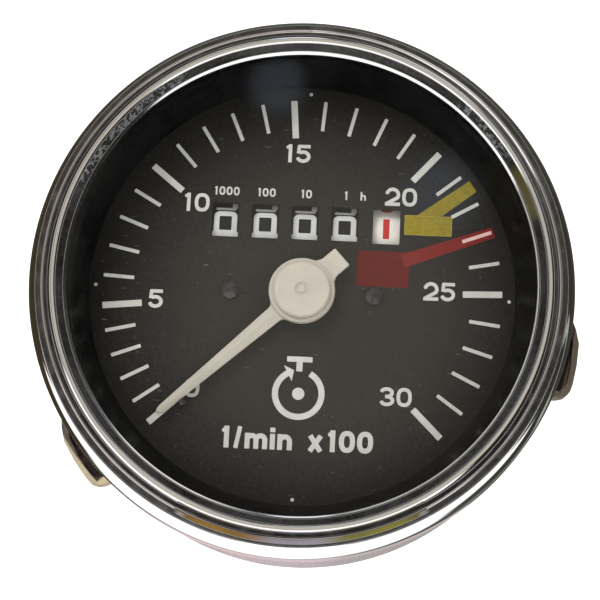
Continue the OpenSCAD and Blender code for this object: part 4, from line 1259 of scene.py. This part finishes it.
def pointer_top(U, V):
    d = -pointer_sd(U, V)
    w = half_width(U)
    ridge = np.interp(U, [0, 20, 38.6], [0.90, 0.80, 0.62])
    roof = 0.22 + (ridge - 0.22) * np.clip(1 - np.abs(V) / np.maximum(w, 0.1), 0, 1)
    roof = np.where(U > 0, roof, 0)
    q = np.clip(6.8 - np.hypot(U, V), 0, 0.45)
    disc = np.where(np.hypot(U, V) < 6.8, 0.75 + np.sqrt(np.maximum(0.45**2 - (0.45 - q) ** 2, 0)), 0)
    tail = np.where((U < 0) & (U > -11), 0.9, 0)
    tail = np.where(np.abs(V) < 2.9, tail, 0)
    h = np.maximum(np.maximum(roof, disc), tail)
    h = np.where(h < 0.25, 0.25 + 0.5 * np.clip(d, 0, 1), h)
    r = 0.16
    e = np.clip(d, 0, r)
    return h - (r - np.sqrt(np.maximum(r * r - (r - e) ** 2, 0)))


loops = contours(pointer_sd, -11.5, 39.2, -7.4, 7.4, 0.11, tol=0.006)
rings = []
for lev in (-0.03, -0.08, -0.16):
    for l in contours(pointer_sd, -11.5, 39.2, -7.4, 7.4, 0.11, level=lev, tol=0.006):
        rings.append(np.vstack([l, l[:1]]))
extra = [p for p in grid_in(pointer_sd, -11.2, 38.6, -7.2, 7.2, 0.30, 0.24) if abs(p[1]) > 0.12 or p[0] < 7.2]
lines = [[(u, 0.0) for u in np.arange(7.2, 38.2, 0.5)]]
for rr in (6.79, 6.7, 6.55, 6.35):
    c = [(rr * math.cos(q), rr * math.sin(q)) for q in np.linspace(0, 2 * math.pi, 120, endpoint=False)]
    extra += [p for p in c if pointer_sd(np.array([p[0]]), np.array([p[1]]))[0] < -0.2]
V, F = solid(loops, pointer_top, 0.0, along, extra, rings + lines)
add_piece("pointer_blade", V, F, "cream", "pointer_group", "cream_paint", ("pointer",), sharp=24)

cap = filleted(
    [(0.0, -3.3), (5.9, -3.3), (5.9, -4.05), (5.45, -4.4), (1.55, -4.4), (1.05, -3.98), (0.78, -3.92), (0.7, -4.12), (0.0, -4.18)],
    [0, 0.08, 0.25, 0.3, 0.25, 0.15, 0.08, 0.15, 0], 5)
V, F = lathe(cap, 120)
add_piece("pointer_boss", V, F, "cream", "pointer_group", "cream_paint", ("pointer_cap",), sharp=35)


# --------------------------------------------------------------------------
# Screws, stop pin and other small turned parts
# --------------------------------------------------------------------------
def softened(node, name, mat, slot, body, width, segs=2, angle=30, **kw):
    """Copy of a construction solid with its edges broken."""
    src = NODES[node]
    me = src.data.copy()
    me.name = name
    ob = bpy.data.objects.new(name, me)
    bpy.context.scene.collection.objects.link(ob)
    bm = bmesh.new()
    bm.from_mesh(me)
    bmesh.ops.remove_doubles(bm, verts=bm.verts, dist=2e-7)
    bmesh.ops.dissolve_limit(bm, angle_limit=math.radians(0.8), verts=bm.verts, edges=bm.edges)
    bmesh.ops.recalc_face_normals(bm, faces=bm.faces)
    edges = [e for e in bm.edges if len(e.link_faces) == 2 and e.calc_face_angle(0) > math.radians(angle)]
    if width > 0 and edges:
        bmesh.ops.bevel(bm, geom=edges, offset=width * MM, offset_type="OFFSET", segments=segs, profile=0.5, affect="EDGES", clamp_overlap=True)
    bmesh.ops.recalc_face_normals(bm, faces=bm.faces)
    bm.to_mesh(me)
    bm.free()
    for attr in [a.name for a in me.attributes if a.name == "custom_normal"]:
        me.attributes.remove(me.attributes[attr])
    me.materials.clear()
    me.materials.append(M[mat])
    me.polygons.foreach_set("use_smooth", [True] * len(me.polygons))
    me.set_sharp_from_angle(angle=math.radians(32))
    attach(ob, body)
    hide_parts(node)
    return ob


def slotted_heads(name, mat, spots, y0, h, r, shank_r, y_tip, slot_w, slot_d, turns, body="housing", slot="black_screw", replaces=(), dome=0.25):
    """Round screw heads with a cut slot and a plain shank."""
    heap = Heap()
    for (x, z), turn in zip(spots, turns):
        c, s = math.cos(turn), math.sin(turn)
        disc = lambda X, Z: np.hypot(X, Z) - r

        def top(U, W):
            rr = np.hypot(U, W)
            hh = h - dome * (rr / r) ** 2 - np.where(rr > r - 0.25, 0.25 - np.sqrt(np.maximum(0.0625 - (rr - r + 0.25) ** 2, 0)), 0)
            return np.where(np.abs(W) < slot_w / 2, h - slot_d, hh)

        place = lambda U, W, hh: np.stack([x + U * c - W * s, (y0 + h) - hh, z + U * s + W * c], axis=1)
        ring = [circle_pts(0, 0, rr, 48) for rr in (r - 0.03, r - 0.12, r - 0.25)]
        cuts = []
        for e in (slot_w / 2 - 0.004, slot_w / 2 + 0.004):
            for sg in (-1, 1):
                q = math.sqrt(max(r * r - e * e, 0)) - 0.002
                cuts.append([(u, sg * e) for u in np.linspace(-q, q, 17)])
        V, F = solid([circle_pts(0, 0, r, 64)], top, 0.0, place, (), [np.vstack([q, q[:1]]) for q in map(np.array, ring)] + cuts)
        heap.add(V, F)
        V, F = lathe([(0, y0 + h), (shank_r, y0 + h), (shank_r, y_tip - 0.3), (shank_r - 0.3, y_tip), (0, y_tip)], 32, (x, z))
        heap.add(V, F)
    return heap.make(name, mat, body, slot, replaces=replaces, sharp=35)


slotted_heads("dial_screw_heads", "screw", [(-14.8, 0), (14.8, 0)], -0.9, 0.9, 1.9, 0.9, 4.8, 0.5, 0.45, (0.5, 1.25), replaces=("dial_screws",))

V, F = lathe(filleted([(0, -3.1), (0.7, -3.1), (0.7, 0.8), (1.3, 0.8), (1.3, 1.4), (0, 1.4)], [0, 0.3, 0, 0.1, 0.1, 0], 5), 40, pin_at)
add_piece("stop_peg", V, F, "screw", "housing", "black_screw", ("zero_stop_pin",))


def thread(name_r, r, pitch, depth, y0, y1, cx, cz, seg=72, per=10, r_in=0.0, lead_out=1.0, end_cham=0.8):
    """Screwed rod: a grid wound about Y whose radius follows the helix."""
    rows = int(math.ceil((y1 - y0) / pitch * per)) + 1
    ys = np.linspace(y0, y1, rows)
    a = np.linspace(0, 2 * math.pi, seg, endpoint=False)
    Yg, A = np.meshgrid(ys, a, indexing="ij")
    ph = (Yg / pitch - A / (2 * math.pi)) % 1.0
    saw = np.clip(np.abs(ph - 0.5) * 2.6 - 0.15, 0, 1)
    fade = np.clip((Yg - y0) / (pitch * lead_out), 0, 1)
    R = r - depth * (1 - saw) * fade
    R = np.minimum(R, r - np.clip(Yg - (y1 - end_cham), 0, None))
    V = np.stack([cx + R * np.cos(A), Yg, cz + R * np.sin(A)], axis=2).reshape(-1, 3)
    F = []
    for i in range(rows - 1):
        for j in range(seg):
            j2 = (j + 1) % seg
            F.append((i * seg + j, i * seg + j2, (i + 1) * seg + j2, (i + 1) * seg + j))
    n = len(V)
    if r_in > 0:
        ring0 = [(cx + r_in * math.cos(q), y0, cz + r_in * math.sin(q)) for q in a]
        ring1 = [(cx + r_in * math.cos(q), y1, cz + r_in * math.sin(q)) for q in a]
        V = np.vstack([V, ring0, ring1])
        last = (rows - 1) * seg
        for j in range(seg):
            j2 = (j + 1) % seg
            F.append((j, j2, n + j2, n + j))
            F.append((last + j, last + j2, n + seg + j2, n + seg + j))
            F.append((n + j, n + j2, n + seg + j2, n + seg + j))
    else:
        V = np.vstack([V, [(cx, y0, cz), (cx, y1, cz)]])
        last = (rows - 1) * seg
        for j in range(seg):
            j2 = (j + 1) % seg
            F.append((j, j2, n))
            F.append((last + j, last + j2, n + 1))
    return V, F


# cable spigot: flange with broken edges, threaded barrel, bore
sp = Heap()
V, F = lathe(filleted([(4.8, 42.5), (11.0, 42.5), (11.0, 44.5), (7.0, 44.5), (4.8, 44.5)], [0, 0.15, 0.35, 0, 0], 4), 120)
sp.add(V, F)
V, F = lathe([(3.0, 39.1), (6.0, 39.1), (6.0, 42.5), (4.8, 42.5), (3.0, 42.5)], 72)
sp.add(V, F)
sp.add(*thread("t", 7.94, 1.41, 0.62, 44.4, 59.0, 0, 0, 96, 12, 4.8))
sp.make("cable_spigot", "zinc", "housing", "bright_zinc", replaces=("drive_spigot",), sharp=40)

st = Heap()
for k in (0, 180):
    x, z = 34 * math.cos(math.radians(BR + k)), 34 * math.sin(math.radians(BR + k))
    V, F = lathe(filleted([(0, 40.4), (4.5, 40.4), (4.5, 41.6), (2.38, 41.6), (2.38, 46.2), (0, 46.2)], [0, 0.3, 0.2, 0, 0, 0], 3), 48, (x, z))
    st.add(V, F)
    st.add(*thread("s", 2.4, 0.8, 0.36, 46.1, 64.0, x, z, 48, 10, 0, 1.0, 0.6))
st.make("stud_pair", "gold", "housing", "yellow_zinc", replaces=("bracket_studs",), sharp=40)

softened("bracket", "clamp_bracket", "bracket", "yellow_zinc", "bracket_group", 0.16, 2)
flat = bpy.data.objects["clamp_bracket"].modifiers.new("flat_faces", "WEIGHTED_NORMAL")
flat.weight = 100
flat.keep_sharp = True
softened("bracket_washers", "clamp_washers", "zinc", "bright_zinc", "bracket_group", 0.12, 2)

# hexagon nuts with chamfered corners and a bore
nt = Heap()
for k in (0, 180):
    x, z = 34 * math.cos(math.radians(BR + k)), 34 * math.sin(math.radians(BR + k))
    Rn, y0n, y1n = 4.62, 52.3, 56.3
    seg = 72
    prof = [(y0n, 1.0), (y0n + 0.35, 0.0), (y1n - 0.35, 0.0), (y1n, 1.0)]
    verts, faces = [], []
    ysn = [y0n, y0n + 0.12, y0n + 0.3, y0n + 0.5, y1n - 0.5, y1n - 0.3, y1n - 0.12, y1n]
    for yy in ysn:
        for i in range(seg):
            q = 2 * math.pi * i / seg
            qq = (q % (math.pi / 3)) - math.pi / 6
            hexr = Rn * math.cos(math.pi / 6) / math.cos(qq)
            e = min(yy - y0n, y1n - yy)
            cham = Rn * math.cos(math.pi / 6) - 0.15 + e * 1.75
            rr = min(hexr, cham)
            verts.append((x + rr * math.cos(q), yy, z + rr * math.sin(q)))
    for i in range(len(ysn) - 1):
        for j in range(seg):
            j2 = (j + 1) % seg
            faces.append((i * seg + j, i * seg + j2, (i + 1) * seg + j2, (i + 1) * seg + j))
    n = len(verts)
    for yy, rr in ((y0n, 2.42), (y1n, 2.75), (y1n - 0.35, 2.42)):
        verts += [(x + rr * math.cos(2 * math.pi * i / seg), yy, z + rr * math.sin(2 * math.pi * i / seg)) for i in range(seg)]
    last = (len(ysn) - 1) * seg
    for j in range(seg):
        j2 = (j + 1) % seg
        faces.append((j, j2, n + j2, n + j))
        faces.append((last + j, last + j2, n + seg + j2, n + seg + j))
        faces.append((n + seg + j, n + seg + j2, n + 2 * seg + j2, n + 2 * seg + j))
        faces.append((n + 2 * seg + j, n + 2 * seg + j2, n + j2, n + j))
    nt.add(verts, faces)
nt.make("clamp_nuts", "zinc", "bracket_group", "bright_zinc", replaces=("bracket_nuts",), sharp=25)

# --------------------------------------------------------------------------
# Remaining construction solids: same shapes, finished surfaces
# --------------------------------------------------------------------------
FINISH = {
    "movement_base": "diecast", "spigot_bush": "bronze", "middle_plate": "brass", "shaft_bush": "bronze",
    "front_plate": "brass", "frame_pillars": "steel", "frame_screws": "steel", "case_screws": "gold",
    "dial_posts": "steel", "spindle_bush": "bronze", "spring_anchor": "brass", "hairspring": "spring",
    "field_ring": "magnet", "counter_plates": "zinc", "counter_shaft": "steel", "pinion_shaft": "steel",
    "pawl_pivot": "steel", "pawl_spring": "steel", "lamp_sockets": "zinc", "lamp_bulbs": "bulb",
    "ground_tab": "brass", "pointer_spindle": "steel", "hairspring_collet": "brass", "drag_cup": "cup",
    "main_shaft": "steel", "magnet_rotor": "magnet", "drive_worm": "bronze", "cross_shaft": "steel",
    "worm_wheel": "brass", "cross_worm": "bronze", "timing_shaft": "steel", "timing_wheel": "brass",
    "timing_cam": "brass", "pawl_lever": "steel", "ratchet_wheel": "brass",
    "transfer_pinion_units": "brass", "transfer_pinion_tens": "brass",
    "transfer_pinion_hundreds": "brass", "transfer_pinion_thousands": "brass",
}
for name, key in FINISH.items():
    ob = NODES[name]
    if not ob.material_slots:
        ob.data.materials.append(M[key])
    for sl in ob.material_slots:
        sl.material = M[key]
for name, ob in NODES.items():
    if name not in FINISH and not ob.hide_render:
        print("unfinished node:", name)

# --------------------------------------------------------------------------
# Stage: pale floor and wall, soft lights, a studio seen only in reflections
# --------------------------------------------------------------------------
scene = bpy.context.scene
scene.view_settings.view_transform = "Standard"
scene.view_settings.look = "None"
scene.view_settings.exposure = 0.0
scene.view_settings.gamma = 1.0

world = bpy.data.worlds.new("studio")
scene.world = world
world.use_nodes = True
bg = world.node_tree.nodes["Background"]
bg.inputs["Color"].default_value = (0.93, 0.94, 0.96, 1)
bg.inputs["Strength"].default_value = 1.0


def stage_mesh(name, verts, faces, mat):
    me = bpy.data.meshes.new(name)
    me.from_pydata(verts, [], faces)
    me.polygons.foreach_set("use_smooth", [True] * len(me.polygons))
    me.materials.append(mat)
    ob = bpy.data.objects.new(name, me)
    scene.collection.objects.link(ob)
    return ob


def floor_mat():
    s = Shade("pale_floor")
    n = s.noise(0.004, 3.0)
    col = s.mix(s.span(n, 0.3, 0.7), (0.90, 0.90, 0.90), (0.86, 0.86, 0.86))
    b = s.principled(col, 0.7, 0.0)
    b.inputs["Emission Color"].default_value = (1, 1, 1, 1)
    b.inputs["Emission Strength"].default_value = 0.35
    return s.done(b)


prof = [(-2.2, -0.32)] + [(1.0 + 0.8 * math.sin(q), -0.32 + 0.8 * (1 - math.cos(q))) for q in np.linspace(0, math.pi / 2, 16)] + [(1.8, 3.2)]
vs = [(sx * 3.2, y, z) for sx in (-1, 1) for y, z in prof]
k = len(prof)
stage_mesh("floor_sweep", vs, [(i, i + 1, k + i + 1, k + i) for i in range(k - 1)], floor_mat())


def dome_mat():
    """Reflected studio, laid out by direction about the object."""
    s = Shade("reflected_studio")
    nrm = s.add("ShaderNodeVectorMath", operation="NORMALIZE")
    s.put(nrm.inputs[0], s.co)
    sep = s.add("ShaderNodeSeparateXYZ")
    s.put(sep.inputs[0], nrm.outputs[0])
    x, y, z = sep.outputs
    deg = 180.0 / math.pi
    az = s.math("MULTIPLY", s.math("ARCTAN2", x, s.math("MULTIPLY", y, -1.0)), deg)
    el = s.math("MULTIPLY", s.math("ARCSINE", z), deg)

    def band(v, lo, hi, soft):
        return s.math("MULTIPLY", s.span(v, lo - soft, lo + soft), s.span(v, hi - soft, hi + soft, 1.0, 0.0))

    def both(a, b):
        return s.math("MULTIPLY", a, b)

    def patch(col, a0, a1, e0, e1, sa, se, tint):
        return s.mix(both(band(az, a0, a1, sa), band(el, e0, e1, se)), col, tint)

    # angle away from where the flat front looks, and the way it lies
    da, de = s.math("ADD", az, 0.7), s.math("SUBTRACT", el, 11.0)
    rho = s.math("SQRT", s.math("ADD", s.math("MULTIPLY", da, da), s.math("MULTIPLY", de, de)))
    down = s.math("MULTIPLY", s.math("ARCTAN2", da, s.math("MULTIPLY", de, -1.0)), deg)
    up = s.math("MULTIPLY", s.math("ARCTAN2", da, de), deg)

    cloud = s.noise(0.006, 4.0, 0.6)
    col = s.mix(s.span(cloud, 0.35, 0.65), (0.022, 0.019, 0.016), (0.040, 0.036, 0.031))
    # room up to the right a little lighter, ceiling grey
    col = patch(col, 14, 95, 18, 62, 8, 8, (0.075, 0.074, 0.066))
    col = s.mix(s.span(el, 56, 68), col, (0.075, 0.075, 0.067))
    # pale table in front and below
    table = both(both(band(down, -67, 42, 3), s.span(rho, 15.0, 15.8)), band(az, -52, 42, 4))
    col = s.mix(table, col, (1.32, 1.30, 1.28))
    # pale things above and to the left
    col = s.mix(both(band(up, -20, 55, 6), both(s.span(rho, 15.0, 15.6), s.span(rho, 26.0, 24.0))), col, (0.20, 0.22, 0.25))
    col = s.mix(both(band(up, 16, 44, 4), both(s.span(rho, 15.0, 15.6), s.span(rho, 26.0, 24.0))), col, (1.12, 1.10, 1.07))
    col = s.mix(both(band(up, -13, 2, 3), both(s.span(rho, 15.0, 15.6), s.span(rho, 30.0, 27.0))), col, (1.08, 1.10, 1.16))
    col = s.mix(both(band(up, -115, -20, 6), both(s.span(rho, 15.0, 15.6), s.span(rho, 20.0, 18.5))), col, (0.50, 0.49, 0.47))
    col = s.mix(both(band(up, 10, 45, 5), band(rho, 20, 32, 3)), col, (0.8, 0.78, 0.74))
    col = s.mix(both(band(up, -112, -15, 5), band(rho, 19, 31, 3)), col, (0.60, 0.58, 0.54))
    # soft lamp in front
    def away(a, e):
        u, v = s.math("SUBTRACT", az, a), s.math("SUBTRACT", el, e)
        return s.math("SQRT", s.math("ADD", s.math("MULTIPLY", u, u), s.math("MULTIPLY", v, v)))

    tone = s.mix(s.span(away(0.0, 9.4), 6.0, 14.5, 1.0, 0.02), (0.0, 0.0, 0.0), (0.56, 0.515, 0.445))
    tone = s.mix(s.span(away(7.5, 17.0), 1.0, 3.4, 0.7, 0.0), tone, (0.50, 0.58, 0.72))
    tone = s.mix(s.span(away(-3.5, 23.5), 0.8, 2.6, 0.7, 0.0), tone, (0.50, 0.58, 0.72))
    col = s.mix(s.span(rho, 14.0, 14.6, 1.0, 0.0), col, tone)
    # behind the object: round its wall by angle, round its front roll white below
    back = s.span(y, 0.02, 0.12)
    zc = s.math("ADD", z, 0.02)
    wide = s.math("SQRT", s.math("ADD", s.math("MULTIPLY", x, x), s.math("MULTIPLY", zc, zc)))
    gam = s.math("MULTIPLY", s.math("ARCTAN2", x, s.math("MULTIPLY", zc, -1.0)), deg)
    rear = s.mix(s.span(x, -0.75, -0.2), (0.050, 0.038, 0.020), (0.095, 0.095, 0.080))
    rear = s.mix(s.span(x, 0.3, 0.8), rear, (0.040, 0.036, 0.030))
    side = s.mix(s.span(gam, -97, -88), (0.040, 0.034, 0.028), (1.05, 0.99, 1.03))
    for g0, g1, tint in (
        (-82, -73, (0.82, 0.66, 0.67)), (-60, -30, (0.76, 0.59, 0.59)), (-28, -12, (0.68, 0.56, 0.61)), (8, 18, (0.54, 0.48, 0.47)),
        (70, 75, (0.07, 0.06, 0.055)), (84, 94, (0.28, 0.30, 0.27)), (120, 136, (0.045, 0.040, 0.035)),
    ):
        side = s.mix(s.span(gam, g0, g1), side, tint)
    side = s.mix(s.math("MULTIPLY", band(gam, 145, 150, 1.5), 0.6), side, (0.30, 0.30, 0.28))
    side = s.mix(band(gam, -128, 152, 4), rear, side)
    rear = s.mix(s.span(wide, 0.28, 0.38), side, rear)
    bow = s.math("SQRT", s.math("MAXIMUM", s.math("SUBTRACT", 1.0, s.math("MULTIPLY", x, x)), 0.0))
    low = s.math("ADD", z, s.math("MULTIPLY", bow, s.span(x, 0.0, 1.0, 0.50, 0.85, False)))
    tilt = s.math("SUBTRACT", z, s.math("MULTIPLY", x, 0.95))
    rear = s.mix(both(band(tilt, -0.89, -0.81, 0.015), s.span(x, 0.42, 0.5)), rear, (0.40, 0.42, 0.37))
    rear = s.mix(s.span(low, 0.02, -0.04), rear, (1.30, 1.28, 1.26))
    col = s.mix(back, col, rear)
    col = s.mix(s.span(z, -0.966, -0.976), col, (1.15, 1.12, 1.12))
    em = s.add("ShaderNodeEmission")
    s.put(em.inputs["Color"], col)
    em.inputs["Strength"].default_value = 1.0
    return s.done(em)


bm = bmesh.new()
bmesh.ops.create_uvsphere(bm, u_segments=96, v_segments=64, radius=0.33)
bmesh.ops.reverse_faces(bm, faces=bm.faces)
me = bpy.data.meshes.new("reflection_dome")
bm.to_mesh(me)
bm.free()
me.materials.append(dome_mat())
dome = bpy.data.objects.new("reflection_dome", me)
scene.collection.objects.link(dome)
dome.visible_camera = False
dome.visible_diffuse = False
dome.visible_shadow = False
dome.visible_transmission = False
dome.visible_volume_scatter = False
me.materials[0].cycles.emission_sampling = "NONE"


def swatch_mat():
    """Amber, grey and olive side by side, with soft edges."""
    s = Shade("reflected_swatch")
    sep = s.add("ShaderNodeSeparateXYZ")
    s.put(sep.inputs[0], s.co)
    turn = s.math("MULTIPLY", s.math("ARCTAN2", sep.outputs[0], s.math("MULTIPLY", sep.outputs[2], -1.0)), 180.0 / math.pi)
    col = s.mix(s.span(turn, -29.0, -19.0), (0.10, 0.07, 0.045), (0.35, 0.19, 0.045))
    col = s.mix(s.span(turn, -11.0, -2.0), col, (0.36, 0.32, 0.37))
    col = s.mix(s.span(turn, 5.0, 14.0), col, (0.27, 0.245, 0.055))
    col = s.mix(s.span(turn, 22.0, 33.0), col, (0.10, 0.09, 0.06))
    col = s.mix(s.math("MULTIPLY", s.span(s.noise(0.06, 4.0, 0.6), 0.4, 0.7), 0.35), col, (0.10, 0.08, 0.05))
    em = s.add("ShaderNodeEmission")
    s.put(em.inputs["Color"], col)
    return s.done(em)


arcs = [math.radians(270 + t) for t in np.linspace(-26, 31, 30)]
vs = [(r * math.cos(q) * MM, -0.0162, r * math.sin(q) * MM) for q in arcs for r in (50.9, 56.0)]
swatch = stage_mesh("reflected_swatches", vs, [(2 * i, 2 * i + 1, 2 * i + 3, 2 * i + 2) for i in range(len(arcs) - 1)], swatch_mat())
swatch.visible_camera = False
swatch.visible_diffuse = False
swatch.visible_shadow = False
swatch.visible_transmission = False
swatch.visible_volume_scatter = False
swatch.data.materials[0].cycles.emission_sampling = "NONE"


def area(name, loc, size, power, color=(1, 1, 1), target=(0, 0, 0)):
    d = bpy.data.lights.new(name, "AREA")
    d.shape = "RECTANGLE"
    d.size, d.size_y = size
    d.energy = power
    d.color = color
    o = bpy.data.objects.new(name, d)
    scene.collection.objects.link(o)
    o.location = loc
    o.rotation_mode = "QUATERNION"
    o.rotation_quaternion = (Vector(target) - Vector(loc)).to_track_quat("-Z", "Y")
    o.visible_glossy = False
    o.visible_camera = False
    return o


area("key_soft", (-0.45, -0.75, 0.60), (0.35, 0.35), 7.0)
area("fill_low", (0.10, -0.60, -0.45), (0.40, 0.25), 3.0)
area("side_soft", (0.85, -0.35, 0.25), (0.5, 0.5), 2.5)
area("back_soft", (0.0, 0.9, 0.7), (0.8, 0.6), 6.0)
